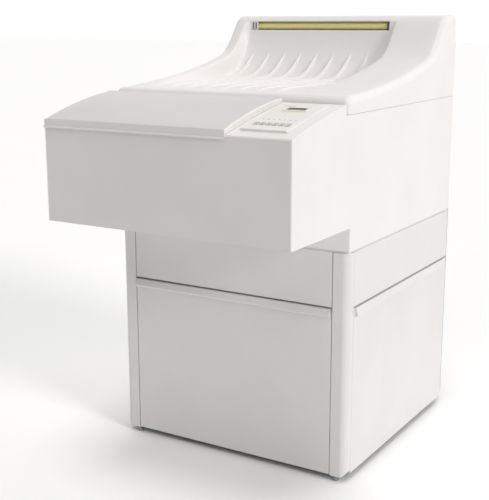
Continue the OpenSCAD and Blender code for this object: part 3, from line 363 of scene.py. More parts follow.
# %% [markdown]
# ## Working on one piece at a time
# In the viewport a hand opens an object and picks faces or edges before it uses a tool.
# A tool acts on all that is picked, so nothing else may be. The tests that pick an edge
# or a face go by place, as "the edges round the face in this plane".

# %% Open, pick and close


def only(piece):
    """Makes piece the only picked and the active object."""
    bpy.ops.object.select_all(action="DESELECT")
    piece.select_set(True)
    bpy.context.view_layer.objects.active = piece


def open_up(piece, kind="FACE"):
    """Opens piece in edit mode, to pick faces or edges."""
    only(piece)
    bpy.ops.object.mode_set(mode="EDIT")
    bpy.ops.mesh.select_mode(type=kind)


def pick(piece, edges=None, faces=None):
    """Picks only what passes the test in the opened piece, and returns how many did."""
    bpy.ops.mesh.select_all(action="DESELECT")
    mesh = bmesh.from_edit_mesh(piece.data)
    found = [part for part in (mesh.edges if edges else mesh.faces)
             if (edges or faces)(part)]
    for part in found:
        part.select_set(True)
    bmesh.update_edit_mesh(piece.data)
    return len(found)


def shut():
    """Closes the opened piece."""
    bpy.ops.object.mode_set(mode="OBJECT")


def lower_end(edge):
    """Height of an edge's lower end, in millimetres."""
    return min(v.co.z for v in edge.verts) / MM


def above(height_mm, angle=-1):
    """A test for the edges above a height whose faces meet at more than an angle."""
    return lambda edge: lower_end(edge) > height_mm and edge.calc_face_angle(0) > angle


def climb(edge):
    """How much higher one end of an edge lies than the other, in millimetres."""
    return abs(edge.verts[0].co.z - edge.verts[1].co.z) / MM


print("edges and faces are picked by place")

# %% [markdown]
# Every piece ends the same way: its shading is smoothed, it gets its finish and its body, and the
# node that it stands for is hidden. By hand one of seventy would be forgotten.

# %% Name, smooth and settle


def named(name):
    """The object just made, under its name."""
    piece = bpy.context.object
    piece.name = piece.data.name = name
    return piece


def apply_modifier(piece, kind, **settings):
    """Adds a modifier with its settings and applies it."""
    only(piece)
    modifier = piece.modifiers.new(kind.lower(), kind)
    for key, value in settings.items():
        setattr(modifier, key, value)
    bpy.ops.object.modifier_apply(modifier=modifier.name)


def smooth(piece, degrees=32):
    """Shades round where faces meet at a small angle, and keeps flat faces flat."""
    only(piece)
    bpy.ops.object.shade_smooth_by_angle(angle=math.radians(degrees))
    apply_modifier(piece, "WEIGHTED_NORMAL", keep_sharp=True, weight=80)


def settle(piece, finish, body, slot, *stands_for):
    """Gives a finished piece its finish and its body, and hides the nodes that it stands for."""
    piece.data.materials.clear()
    piece.data.materials.append(finish)
    if stands_for:
        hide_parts(*stands_for)
    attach(piece, body)
    print(piece.name, "rides on", body, "with", len(piece.data.polygons), "faces")


def stand_in(piece, node):
    """Settles a finished piece in the place of one node."""
    settle(piece, COAT_OF[node], BODY_OF[node], SLOT_OF[node], node)


def merged_copy(node, name):
    """A copy of a node's mesh with its loose triangles merged into whole faces."""
    piece = bpy.data.objects.new(name, nodes[node].data.copy())
    bpy.context.collection.objects.link(piece)
    only(piece)
    bpy.ops.mesh.customdata_custom_splitnormals_clear()
    open_up(piece)
    bpy.ops.mesh.select_all(action="SELECT")
    bpy.ops.mesh.remove_doubles(threshold=0.01 * MM)
    bpy.ops.mesh.dissolve_limited(angle_limit=math.radians(0.2))
    shut()
    return piece


print("nodes that can be stood in for:", len(COAT_OF))

# %% [markdown]
# ## Folded sheet and flat panels
# The stand's doors and panels are 2 mm steel, folded on a press and powder coated, and
# the machine's sides are flat moulded sheets. A press leaves an outer radius near the
# sheet's thickness, and coating rounds cut edges. Without it a machine looks like a paper
# model. The panels could be built anew, but their solids are exact, so a copy of each is
# merged and only the rim of its outer face is rounded.

# %% Round the rims of the panels


def rim_of(axis, place_mm):
    """A test for the sharp edges round the faces that lie in one plane."""
    index = "xyz".index(axis)

    def test(edge):
        """Whether an edge is one of them."""
        return (len(edge.link_faces) == 2 and edge.calc_face_angle(0) > math.radians(30)
                and any(abs(face.normal[index]) > 0.99
                        and abs(face.calc_center_median()[index] - place_mm * MM) < 0.3 * MM
                        for face in edge.link_faces))
    return test


def round_rim(piece, test, radius_mm, steps=3):
    """Rounds the edges that pass the test."""
    open_up(piece, "EDGE")
    if pick(piece, edges=test):
        bpy.ops.mesh.bevel(offset=radius_mm * MM, segments=steps, affect="EDGES",
                           clamp_overlap=False)
    shut()


SIDE_X, BODY_Y, BACK_Y, FEED_FLOOR_Z = 300.0, -166.5, 423.5, 578.0
# Node, axis and place of its outer face, radius of that face's rim.
PANELS = [
    ("upper_front_panel", "y", BODY_Y, 1.6), ("front_door", "y", BODY_Y, 1.6),
    ("upper_left_panel", "x", -SIDE_X, 1.6), ("left_door", "x", -SIDE_X, 1.6),
    ("upper_right_panel", "x", SIDE_X, 1.6), ("right_door", "x", SIDE_X, 1.6),
    ("stand_back_panel", "y", BACK_Y, 0.3), ("left_side_panel", "x", -SIDE_X, 1.3),
    ("right_side_panel", "x", SIDE_X, 1.3), ("body_back_panel", "y", BACK_Y, 0.8),
    ("feed_housing", "z", FEED_FLOOR_Z, 1.3), ("front_bulkhead", "y", BODY_Y, 0.8),
]
for node, axis, place, radius in PANELS:
    piece = merged_copy(node, node + "_sheet")
    round_rim(piece, rim_of(axis, place), radius)
    smooth(piece)
    stand_in(piece, node)

# %% [markdown]
# ## Corner posts
# The front posts are the only rounded verticals of the stand: a 38 mm wide folded
# channel with a 16 mm outer radius. The solid has it as flat strips, which shading joins
# to one curve once the loose triangles are merged.

# %% Round the front posts
for node in ("front_post_left", "front_post_right"):
    piece = merged_copy(node, node + "_channel")
    round_rim(piece, lambda e: e.calc_face_angle(0) > 1.2
              and min(v.co.y for v in e.verts) < (BODY_Y + 0.5) * MM, 0.9, 2)
    smooth(piece, 40)
    stand_in(piece, node)

# %% [markdown]
# ## The outline of the top cover
# The cover is one large moulding. From the side it starts with a low front wall, rises
# slowly, sweeps up to the back and ends in a flat top. The scene cannot read the solid's
# source, so its curve is written again as Bezier arcs, in millimetres. The receiving
# tray has a flat floor and a quarter circle that climbs to the exit slot.

# %% Curves in the side view


def bezier(p, n):
    """n steps along a cubic Bezier curve given by four (y, z) points."""
    return [tuple((1 - t) ** 3 * p[0][k] + 3 * (1 - t) ** 2 * t * p[1][k]
                  + 3 * (1 - t) * t * t * p[2][k] + t ** 3 * p[3][k] for k in (0, 1))
            for t in (i / n for i in range(n + 1))]


def arc(centre, radius, start, end, n):
    """n steps along a circle, angles in degrees from +Y towards +Z."""
    angles = (math.radians(start + (end - start) * i / n) for i in range(n + 1))
    return [(centre[0] + radius * math.cos(a), centre[1] + radius * math.sin(a)) for a in angles]


def lengths(points):
    """How far along the line each point lies."""
    out = [0.0]
    for a, b in zip(points, points[1:]):
        out.append(out[-1] + math.dist(a, b))
    return out


def blend(a, b, share):
    """The point at a share of the way from a to b."""
    return tuple(p + (q - p) * share for p, q in zip(a, b))


def point_at(points, marks, goal):
    """The point of a line where its marks, one for each point, come to goal."""
    i = max(1, min(len(points) - 1, sum(mark < goal for mark in marks)))
    share = (goal - marks[i - 1]) / max(marks[i] - marks[i - 1], 1e-9)
    return blend(points[i - 1], points[i], share)


def spaced(points, shares):
    """Points at these shares, 0 to 1, of a line's length."""
    reach = lengths(points)
    return [point_at(points, reach, share * reach[-1]) for share in shares]


print("a quarter circle of 150 mm is", round(lengths(arc((0, 0), 150, 0, 90, 60))[-1]), "mm long")

# %% [markdown]
# The tray's circle is followed upwards in small steps until it comes out through the
# sweep: there the tray ends and the slot's lip begins. The cheek's line runs beside the
# tray's, from the same start to the same end.

# %% The sweep, the tray and the cheek
SEAM_Z, TOP_Z = 814.0, 1011.0
sweep = (bezier([(BODY_Y + 11, 850.5), (-16.5, 856.5), (133.5, 874), (263.5, 909)], 80)
         + bezier([(263.5, 909), (295.5, 918), (315.5, 942), (338.5, 974)], 40)[1:]
         + bezier([(338.5, 974), (353.5, 995), (364.5, TOP_Z), (389.5, TOP_Z)], 40)[1:])
TRAY_C, TRAY_R, TRAY_Z = (205.5, 1005.0), 150.0, 855.0


def under_sweep(point):
    """Whether a point lies under the sweep."""
    return point[1] < point_at(sweep, [y for y, z in sweep], point[0])[1]


meet = -30.0
while under_sweep(arc(TRAY_C, TRAY_R, meet, meet, 1)[0]):
    meet += 0.05
first = next(p for p in sweep if p[1] >= TRAY_Z)
tray_line = [(first[0], TRAY_Z)] + arc(TRAY_C, TRAY_R, -90, meet, 120)
cheek_line = [p for p in sweep if first[0] <= p[0] < tray_line[-1][0]] + [tray_line[-1]]
print("tray starts at y", round(first[0]), "and meets the top at",
      [round(v) for v in tray_line[-1]])

# %% [markdown]
# ## Rows and columns of the cover's skin
# A skin like this could be cut from a block with Booleans, but their edges can't be
# rounded well where the tray fades into the cheek. It is laid as cloth instead: a grid
# primitive, whose rows follow the side outline and whose columns run from left to right.
# Each row has a point on the cheeks and one on the tray. A column says how much of each.

# %% Rows
SLOT_Z = (975.0, 998.0)
slot_angle = math.asin((TRAY_C[1] - SLOT_Z[0]) / TRAY_R)
slot_share = 1 - TRAY_R * (slot_angle + math.radians(meet)) / lengths(tray_line)[-1]
TRAY_ROWS = 46
shares = [i / TRAY_ROWS * slot_share for i in range(TRAY_ROWS + 1)] + [1.0]
front = [(BODY_Y - 14, SEAM_Z + 0.6), (BODY_Y - 14, SEAM_Z + 10)]
front += arc((BODY_Y + 6, SEAM_Z + 16.5), 20, 180, 92, 11)
before = [p for p in sweep if p[0] < first[0]][::3]
after = [p for p in sweep if p[0] > tray_line[-1][0] + 3.2][::4]
lip_of_slot = next(p for p in sweep if p[1] >= SLOT_Z[1])
after = [lip_of_slot] + [p for p in after if p[0] > lip_of_slot[0] + 1] + [(389.5, TOP_Z)]
behind = [(400.0, TOP_Z)] + arc((BACK_Y - 12, TOP_Z - 12), 12, 90, 0, 6)
behind += [(BACK_Y, z) for z in (985, 960, 900, SEAM_Z + 0.6)]
cheek = front + before + spaced(cheek_line, shares) + after + behind
tray = front + before + spaced(tray_line, shares) + after + behind
ROWS = len(cheek)
print("rows:", ROWS)

# %% [markdown]
# Each row also needs the directions into the cover, for its fillets, and out of the
# tray, for the ribs. They are read off the neighbours of its point.

# %% Directions and fillets of each row


def into(points, i):
    """Unit direction at point i that points to the right of the way along the line."""
    a, b = points[max(i - 1, 0)], points[min(i + 1, len(points) - 1)]
    size = math.dist(a, b) or 1.0
    return ((b[1] - a[1]) / size, -(b[0] - a[0]) / size)


def ease(t):
    """A smooth step from 0 to 1."""
    t = min(max(t, 0.0), 1.0)
    return t * t * (3 - 2 * t)


def edge_radius(point, most):
    """Fillet between cheek and side: 15 mm at the front, most on the sweep, small behind."""
    y, z = point
    if y < 380:
        return 15 + (most - 15) * ease((y - BODY_Y) / 110)
    if z > 985:
        return 8 + (most - 8) * (1 - ease((y - 380) / 30))
    return 8 - 6.5 * ease((985 - z) / 25)


def rib_height(point):
    """Height of a rib above the tray: it grows from the front edge and fades on the wall."""
    y, z = point
    if z < SEAM_Z - 1 or z > 925 or y > 400:
        return 0.0
    full = 3.4 + 2.6 * ease((y + 80) / 220)
    return full * ease((y + 135) / 22) * (1 - ease((z - 890) / 24))


inward = [into(cheek, i) for i in range(ROWS)]
outward = [tuple(-v for v in into(tray, i)) for i in range(ROWS)]
print("highest rib:", max(rib_height(p) for p in tray), "mm")

# %% [markdown]
# A column is a short rule. "side" turns the fillet between a cheek and the side, "mix"
# blends from the cheek into the tray, "foot_of_wall" and "head_of_wall" step up the crisp
# right wall of the tray, and "rib" lies on the tray with a share of a rib's height.

# %% Columns
FILLET = [90, 75, 60, 45, 30, 15, 0]
columns = [("side", -1, a) for a in FILLET]
columns += [("mix", x, ease((x + 272) / 21)) for x in
            (-280, -272, -270, -268, -266, -264, -262, -260, -258, -256, -254, -252)]
columns += [("rib", -250, 0.0)]
RIB_SHAPE = [(-4.6, 0.0), (-3.2, 0.12), (-2.3, 0.5), (-1.3, 0.9), (0, 1.0), (1.3, 0.9),
             (2.3, 0.5), (3.2, 0.12), (4.6, 0.0)]
RIB_COUNT, RIB_FIRST, RIB_PITCH = 8, -228, 47.5
for i in range(RIB_COUNT):
    middle = RIB_FIRST + RIB_PITCH * i
    columns += [("rib", middle + dx, share) for dx, share in RIB_SHAPE]
    if i < RIB_COUNT - 1:
        columns += [("rib", middle + RIB_PITCH / 2, 0.0)]
columns += [("rib", 130, 0.0), ("rib", 151, 0.0), ("rib", 160, 0.0)]
columns += [("foot_of_wall", x, reach) for x, reach in ((164, 0.0), (166, 0.8), (167, 3.0))]
columns += [("head_of_wall", x, reach) for x, reach in ((167, 2.2), (167.5, 0.8), (169, 0.0))]
columns += [("mix", x, 0.0) for x in (180, 210, 245, 275)]
columns += [("side", 1, a) for a in reversed(FILLET)]
print("columns:", len(columns))

# %% [markdown]
# One function now answers where a row and a column cross. It first takes the row's two
# points, and then does what the column's rule says.

# %% Where a row and a column cross


def shift(point, direction, reach):
    """The point moved by reach in a direction."""
    return (point[0] + direction[0] * reach, point[1] + direction[1] * reach)


def towards(a, b, reach):
    """The point reach away from a on the way to b, but never past the middle."""
    far = math.dist(a, b)
    return blend(a, b, min(reach / far, 0.45) if far > 1e-6 else 0.0)


def on_cover(row, column):
    """Where the crossing of a row and a column lies, in millimetres."""
    kind, x, value = columns[column]
    low, high = tray[row], cheek[row]
    if kind == "side":
        radius = edge_radius(high, 18 if x > 0 else 8)
        turn = math.radians(value)
        return (x * (SIDE_X - radius * (1 - math.sin(turn))),
                *shift(high, inward[row], radius * (1 - math.cos(turn))))
    if kind == "mix":
        return (x, *blend(high, low, value))
    if kind == "rib":
        return (x, *shift(low, outward[row], rib_height(low) * value))
    return (x, *(towards(low, high, value) if kind == "foot_of_wall"
                 else towards(high, low, value)))


print("middle of the tray's foot:", [round(v) for v in on_cover(len(front + before), 40)])

# %% [markdown]
# A grid primitive comes as a flat square. Each of its points knows its row and column
# from its place in that square, and is put where the function says. Points that fall
# together are merged. The exit slot is cut by deleting the faces between its edges.

# %% Lay the skin and cut the slot


def skin(name, rows, cols, place):
    """A grid primitive whose crossings are put where place(row, column) says."""
    bpy.ops.mesh.primitive_grid_add(x_subdivisions=cols - 1, y_subdivisions=rows - 1, size=2)
    piece = named(name)
    for v in piece.data.vertices:
        column = round((v.co.x + 1) / 2 * (cols - 1))
        row = round((v.co.y + 1) / 2 * (rows - 1))
        v.co = Vector(place(row, column)) * MM
    return piece


SLOT_X = (-250, 151)
cover = skin("top_cover_moulding", ROWS, len(columns), on_cover)
open_up(cover)
bpy.ops.mesh.select_all(action="SELECT")
bpy.ops.mesh.remove_doubles(threshold=0.02 * MM)


def in_slot(face):
    """The faces between the slot's lower and upper edge."""
    x, y, z = face.calc_center_median() / MM
    return SLOT_X[0] < x < SLOT_X[1] and 350 < y < 400 and SLOT_Z[0] < z < SLOT_Z[1]


cut = pick(cover, faces=in_slot)
bpy.ops.mesh.delete(type="FACE")
shut()
print("faces cut away for the exit slot:", cut)

# %% [markdown]
# The two sides are still open. Picking the border's edges and filling them closes each
# side with one flat face. Then the skin gets a wall of 3 mm inwards, as the moulding has.

# %% Close the sides and give the cover its wall
for side in (-1, 1):
    open_up(cover, "EDGE")
    pick(cover, edges=lambda e: e.is_boundary and all(
        abs(v.co.x - side * SIDE_X * MM) < 0.01 * MM for v in e.verts))
    bpy.ops.mesh.edge_face_add()
    shut()
apply_modifier(cover, "SOLIDIFY", thickness=3 * MM, offset=-1)
smooth(cover, 40)
stand_in(cover, "top_cover")

# %% [markdown]
# ## Cubes, cylinders and cuts
# Small trim starts as a cube or a cylinder of its real size. A hand would cut it with
# the knife tool, along the view. A plane at a written place cuts it the same each time.

# %% Start, cut, inset and join


def box(name, corner, far_corner):
    """A cube primitive between two corners in millimetres."""
    spans = list(zip(corner, far_corner))
    bpy.ops.mesh.primitive_cube_add(size=1, location=[(a + b) / 2 * MM for a, b in spans],
                                    scale=[(b - a) * MM for a, b in spans])
    bpy.ops.object.transform_apply()
    return named(name)


def rod(name, centre, radius, length, sides=48, turn=(0, 0, 0)):
    """An upright cylinder primitive, or a turned one, in millimetres."""
    bpy.ops.mesh.primitive_cylinder_add(vertices=sides, radius=radius * MM, depth=length * MM,
                                        location=Vector(centre) * MM, rotation=turn)
    bpy.ops.object.transform_apply()
    return named(name)


def cut_across(axis, places):
    """Cuts the opened piece by planes at these millimetres along an axis."""
    normal = Vector([float(axis == letter) for letter in "xyz"])
    for place in places:
        bpy.ops.mesh.select_all(action="SELECT")
        bpy.ops.mesh.bisect(plane_co=normal * place * MM, plane_no=normal)


def inset(width_mm, lift_mm):
    """Insets the picked faces and lifts them."""
    bpy.ops.mesh.inset(thickness=width_mm * MM)
    bpy.ops.transform.translate(value=(0, 0, lift_mm * MM))


def join(name, pieces):
    """Joins pieces where they stand, under one name."""
    only(pieces[0])
    for piece in pieces:
        piece.select_set(True)
    bpy.ops.object.transform_apply()
    bpy.ops.object.join()
    return named(name)


print("trim to come: guide, collar, keys, lamps, frame, strips, feet, bottles")

# %% [markdown]
# ## The exit slot's fittings
# At the left end of the yellowish roller the picture shows a pale block with two dark slits, and
# at its right end an olive ring. They are taken for a guide that keeps the film off the slot's
# end, and for the collar of the roller's sleeve, whose dark olive is also painted shade at the
# roller's end. The guide is a cube, cut across by planes, and its slits are pushed in, with their
# walls and floors painted charcoal as painted shadow.

# %% Film guide
# Painted shadow: charcoal for the walls and floors of the slits.
slit_shade = coated("slit_shadow_charcoal", "#4A4743", "#403D3A", 0.7, 1.5, 0.03)
GUIDE_FRONT_Y = 357
SLITS_X, SLITS_Z = ((-247, -243.5), (-239.5, -236)), (978.5, 994.5)


def in_slit(face):
    """The front faces of the guide where a slit is pushed in."""
    x, y, z = face.calc_center_median() / MM
    return (face.normal.y < -0.9 and SLITS_Z[0] < z < SLITS_Z[1]
            and any(a < x < b for a, b in SLITS_X))


guide = box("exit_film_guide", (-249.5, GUIDE_FRONT_Y, 975.5), (-232, 361.3, 997.5))
open_up(guide)
cut_across("x", [x for slit_x in SLITS_X for x in slit_x])
cut_across("z", SLITS_Z)
pick(guide, faces=in_slit)
bpy.ops.mesh.extrude_region_move(TRANSFORM_OT_translate={"value": (0, 2.5 * MM, 0)})
shut()
round_rim(guide, lambda e: e.calc_face_angle(0) > 1
          and max(v.co.y for v in e.verts) < (GUIDE_FRONT_Y + 0.2) * MM, 0.5, 2)
smooth(guide)
settle(guide, COAT_OF["top_cover"], "top_cover", "housing_plastic")
# Painted shadow: the walls and floors of the slits take the charcoal.
guide.data.materials.append(slit_shade)
for face in guide.data.polygons:
    x, y, z = face.center / MM
    if GUIDE_FRONT_Y + 1 < y < GUIDE_FRONT_Y + 3 and -247.2 < x < -235.8:
        face.material_index = 1

# %% [markdown]
# The collar is a cylinder on its side, bored by an inset, and its rims are rounded. Its dark
# olive is the nylon's colour and also painted shade at the roller's end in the slot.

# %% Roller collar
# Dark olive: the collar's colour, and painted shade at the roller's end.
collar_olive_and_shade = coated("moulded_nylon_olive_and_shade", "#8F8C63", "#86835B", 0.45, 1.5, 0.03, ior=1.53)
collar = rod("exit_roller_collar", (142.9, 375.5, 984), 12.6, 5.4, turn=(0, math.pi / 2, 0))
open_up(collar)
pick(collar, faces=lambda f: f.normal.x > 0.9)
bpy.ops.mesh.inset(thickness=5 * MM)
bpy.ops.mesh.extrude_region_move(TRANSFORM_OT_translate={"value": (-2.2 * MM, 0, 0)})
shut()
round_rim(collar, above(0, 1), 0.5, 2)
smooth(collar)
settle(collar, collar_olive_and_shade, "exit_roller_front", "exit_roller_rubber")

# %% [markdown]
# ## The crowned top of the feed unit
# Under the lid the feed unit's top is part of a circle of 960 mm radius, and the
# console's top of one of 3000 mm, through the same front and rear edge. The lid runs
# 10 mm above the first. The picture shows, from below: a rolled lip that catches the
# light, a darker front band, a soft edge, the crown, and on the right a tight edge over
# a light skirt.

# %% Circles through the two edges
LID_CROWN, CONSOLE_CROWN, LID_RISE = 960, 3000, 10
FEED_EDGE, REAR_EDGE = (-419.5, 789.0), (BODY_Y - 27, 835.0)


def crown(radius):
    """Centre of the circle through the feed unit's front and rear top edge."""
    a, b = FEED_EDGE, REAR_EDGE
    chord = math.dist(a, b)
    down = math.sqrt(radius ** 2 - chord ** 2 / 4)
    return ((a[0] + b[0]) / 2 + down * (b[1] - a[1]) / chord,
            (a[1] + b[1]) / 2 - down * (b[0] - a[0]) / chord)


def crown_z(radius, y, off=0.0):
    """Height of a circle's arc at y, off millimetres outside of it."""
    y0, z0 = crown(radius)
    return z0 + math.sqrt((radius + off) ** 2 - (y - y0) ** 2)


HINGE_Y = -197.5
HINGE = (HINGE_Y, crown_z(LID_CROWN, HINGE_Y) + 5.0)
print("hinge at", [round(v, 1) for v in HINGE], "step to console at y -300:",
      round(crown_z(LID_CROWN, -300) - crown_z(CONSOLE_CROWN, -300), 1))

# %% [markdown]
# The lid is laid as a skin too, because its fillets change along the way: small at the
# lip, wide on the left, tight on the right. A cube with bevels could give one radius
# only. Its rows run from the rolled lip over the front band and the crown to the hinge.

# %% Rows of the lid
LID_FACE, LID_SOFT, LIP_Y, LIP_Z, LIP_R = -420.6, 3.0, -421.65, 781.4, 1.85
CROWN_END_Y, CROWN_STEPS, BARREL_R = -204, 26, 4.5
y0, z0 = crown(LID_CROWN)
soft_y = LID_FACE + LID_SOFT
soft_z = z0 + math.sqrt((LID_CROWN + LID_RISE - LID_SOFT) ** 2 - (soft_y - y0) ** 2)
tangent = math.degrees(math.atan2(soft_z - z0, soft_y - y0))
lid_line = arc((LIP_Y, LIP_Z), LIP_R, 0, -225, 12)
LIP_ROWS = len(lid_line) + 3
lid_line += [(LID_FACE, LIP_Z + 3.7), (LID_FACE, 789.6), (LID_FACE, soft_z - 0.4)]
lid_line += arc((soft_y, soft_z), LID_SOFT, 180, tangent, 10)
SOFT_ROWS = len(lid_line)
start_y = lid_line[-1][0]
steps = [start_y + (CROWN_END_Y - start_y) * (i + 1) / CROWN_STEPS for i in range(CROWN_STEPS)]
lid_line += [(y, crown_z(LID_CROWN, y, LID_RISE)) for y in steps + [CROWN_END_Y + 2.5]]
BARREL_ROWS = len(lid_line)
lid_line += arc(HINGE, BARREL_R, 97, -110, 14)
print("rows of the lid:", len(lid_line))

# %% [markdown]
# Its columns run from the left skirt over the top to the right skirt, which reaches
# down to the console. Two pairs stand at the sides of the hinge ears, for the notches.

# %% Columns of the lid
LID_LEFT, LID_RIGHT = -300.0, 154.0
EARS = [(-231.5, -218.5), (83.5, 96.5)]
LIP_FILLET, SKIRT_FRONT_Y = 1.3, -419.7
lid_columns = [("skirt", -1, 0)] + [("edge", -1, a) for a in FILLET]
lid_columns += [("top", x, 0) for x in (-280, -231.5, -218.5, -120, -20, 83.5, 96.5, 135)]
lid_columns += [("edge", 1, a) for a in reversed(FILLET)] + [("skirt", 1, 0)]


def lid_radius(row, side):
    """Fillet between the lid's top and its side."""
    most = 9.5 if side < 0 else 3.5
    if row < LIP_ROWS - 1:
        return LIP_FILLET
    if row < SOFT_ROWS:
        grown = ease((row - LIP_ROWS + 2) / (SOFT_ROWS - LIP_ROWS + 1))
        return LIP_FILLET + (most - LIP_FILLET) * grown
    if row >= BARREL_ROWS:
        return 1.2
    return most - (most - 3) * ease((lid_line[row][0] + 214) / 12)


def on_lid(row, column):
    """Where the crossing of a row and a column lies, in millimetres."""
    kind, value, angle = lid_columns[column]
    point = lid_line[row]
    if kind == "top":
        return (value, *point)
    way = (1.0, 0.0) if row < LIP_ROWS else into(lid_line, row)
    radius = lid_radius(row, value)
    edge = LID_LEFT if value < 0 else LID_RIGHT
    if kind == "edge":
        turn = math.radians(angle)
        return (edge - value * radius * (1 - math.sin(turn)),
                *shift(point, way, radius * (1 - math.cos(turn))))
    if row < LIP_ROWS:
        return (edge, *shift(point, way, 1.4))
    if row >= BARREL_ROWS:
        return (edge, *shift(point, way, 4.3))
    y, z = shift(point, way, radius)
    y = max(y if row >= SOFT_ROWS else point[0] + 1.4, SKIRT_FRONT_Y)
    return (edge, y, crown_z(LID_CROWN if value < 0 else CONSOLE_CROWN, y) + 0.7)


print("columns of the lid:", len(lid_columns))

# %% [markdown]
# The skin is notched where the hinge ears stand, and gets a wall of 1 mm inwards. The picture
# shows the right skirt as white as the console beside it, and the lid's top greyer. The skirt
# takes the console's lighter plastic as a painted highlight on the side that faces the right
# lamp. The top keeps the darker feed coat, which is painted shade.

# %% Lay the lid, notch it for the hinge ears and give it a wall
lid = skin("feed_lid_moulding", len(lid_line), len(lid_columns), on_lid)
open_up(lid)
notched = pick(lid, faces=lambda f: f.calc_center_median().y > CROWN_END_Y * MM and any(
    a < f.calc_center_median().x / MM < b for a, b in EARS))
bpy.ops.mesh.delete(type="FACE")
shut()
apply_modifier(lid, "SOLIDIFY", thickness=1.0 * MM, offset=-1)
smooth(lid, 30)
stand_in(lid, "feed_lid")
lid.data.materials.append(FINISH["console_plastic"])
# Painted highlight: the right skirt's faces take the lighter console plastic.
for face in lid.data.polygons:
    x, y, z = face.center / MM
    if face.normal.x > 0.5 and x > LID_RIGHT - 4 and z > LIP_Z + 4:
        face.material_index = 1
print("faces cut away for the ears:", notched)

# %% [markdown]
# ## Softened copies
# Racks, tanks and exit frame are cut from plastic sheet and welded, and the console's
# frame is moulded. All have small radii. Rounding each edge by hand would take a day, so
# a copy of each solid is merged and one bevel rounds every edge that turns sharply.

# %% Soften the quiet pieces
SOFT = [("feed_deck", "frame", 0.9), ("control_plate", "moulding", 0.8),
        ("display_window", "pane", 0.3), ("feed_tray", "sheet", 0.4),
        ("tank_block", "welded", 1.2), ("developer_rack", "plates", 1.0),
        ("fixer_rack", "plates", 1.0), ("wash_rack", "plates", 1.0),
        ("exit_frame", "plates", 1.0), ("top_deck", "sheet", 0.6), ("base_pan", "sheet", 0.6),
        ("base_tray", "sheet", 0.6), ("rear_posts", "channels", 0.8),
        ("mains_inlet", "moulding", 0.5), ("dryer_blower", "housing", 1.0),
        ("drive_motor", "body", 1.0), ("drive_belts", "loops", 0.4)]
for node, word, radius in SOFT:
    piece = merged_copy(node, node + "_" + word)
    apply_modifier(piece, "BEVEL", width=radius * MM, segments=2, limit_method="ANGLE",
                   angle_limit=math.radians(50))
    smooth(piece, 35)
    stand_in(piece, node)

# %% [markdown]
# ## Keys, lamps and display frame
# The console has one row of small keys, a row of lamps and a dark display with a frame.
# They could be modelled on the slope. It is easier at the origin, and each copy is then
# laid on the sloping plate by one matrix.

# %% Laying pieces on the plate
PLATE_X, PLATE_Y = 222, BODY_Y - 140
SLOPE = math.asin((crown(CONSOLE_CROWN)[0] - PLATE_Y) / CONSOLE_CROWN)
PLATE = (Matrix.Translation(Vector((PLATE_X, PLATE_Y, crown_z(CONSOLE_CROWN, PLATE_Y))) * MM)
         @ Matrix.Rotation(SLOPE, 4, "X"))


def lay_on_plate(piece, u=0.0, v=0.0):
    """Moves a piece made round the origin to (u, v) on the plate and applies the move."""
    piece.matrix_world = PLATE @ Matrix.Translation((u * MM, v * MM, 0)) @ piece.matrix_world
    only(piece)
    bpy.ops.object.transform_apply()
    return piece


def copy_of(piece, name):
    """A copy with its own mesh."""
    twin = bpy.data.objects.new(name, piece.data.copy())
    twin.data.name = name
    bpy.context.collection.objects.link(twin)
    return twin


def lay_row(pattern, names, pitch, v):
    """Lays a copy of a pattern for each name, side by side on the plate."""
    middle = (len(names) - 1) / 2
    row = [lay_on_plate(copy_of(pattern, name), (i - middle) * pitch, v)
           for i, name in enumerate(names)]
    bpy.data.objects.remove(pattern)
    return row


print("slope of the plate:", round(math.degrees(SLOPE), 1), "degrees")

# %% [markdown]
# Keys of this age are moulded with a dished top, so a fingertip finds them. The key is
# a cube with rounded uprights, whose top is inset twice and lowered each time. Below the
# plate it widens to a flange that keeps it from falling out.

# %% Model one key and lay six
key = box("key_pattern", (-5, -7, -5.3), (5, 7, 4.9))
round_rim(key, lambda e: climb(e) > 5, 1.4, 3)
open_up(key)
pick(key, faces=lambda f: f.normal.z > 0.9)
inset(1.3, -0.45)
inset(1.2, -0.25)
shut()
round_rim(key, above(4.8, 0.9), 0.35, 2)
open_up(key)
cut_across("z", (-4.1,))
pick(key, faces=lambda f: abs(f.normal.z) < 0.5 and f.calc_center_median().z < -4.1 * MM)
bpy.ops.mesh.extrude_region_shrink_fatten(TRANSFORM_OT_shrink_fatten={"value": 1.2 * MM})
shut()
smooth(key)
KEYS = ["key_%d" % i for i in range(1, 7)]
for node, piece in zip(KEYS, lay_row(key, [node + "_cap" for node in KEYS], 14, -52)):
    stand_in(piece, node)

# %% [markdown]
# The lamps are light pipes of clear acrylic that end in small domes. A ball could be
# pushed through the plate, but a rounded cylinder gives the low dome of the real ones.

# %% Seven status lamps
lens = coated("acrylic_light_pipe_clear", "#CBD3CC", "#C3CCC5", 0.2, 2.0, 0.01, ior=1.49)
lamp = rod("lamp_pattern", (0, 0, 3.2), 2.1, 2.6, 24)
round_rim(lamp, above(4), 1.2, 3)
smooth(lamp, 50)
for piece in lay_row(lamp, ["status_lamp_%d" % i for i in range(1, 8)], 12, -22):
    settle(piece, lens, BODY_OF["control_plate"], "key_plastic")

# %% [markdown]
# The display's frame is a plane, inset and opened in the middle, then given a thickness.
# Beside it the picture shows a faint yellowish line and a reddish one. They are bare
# printed strips, made as flat boxes, and nothing is written on them.

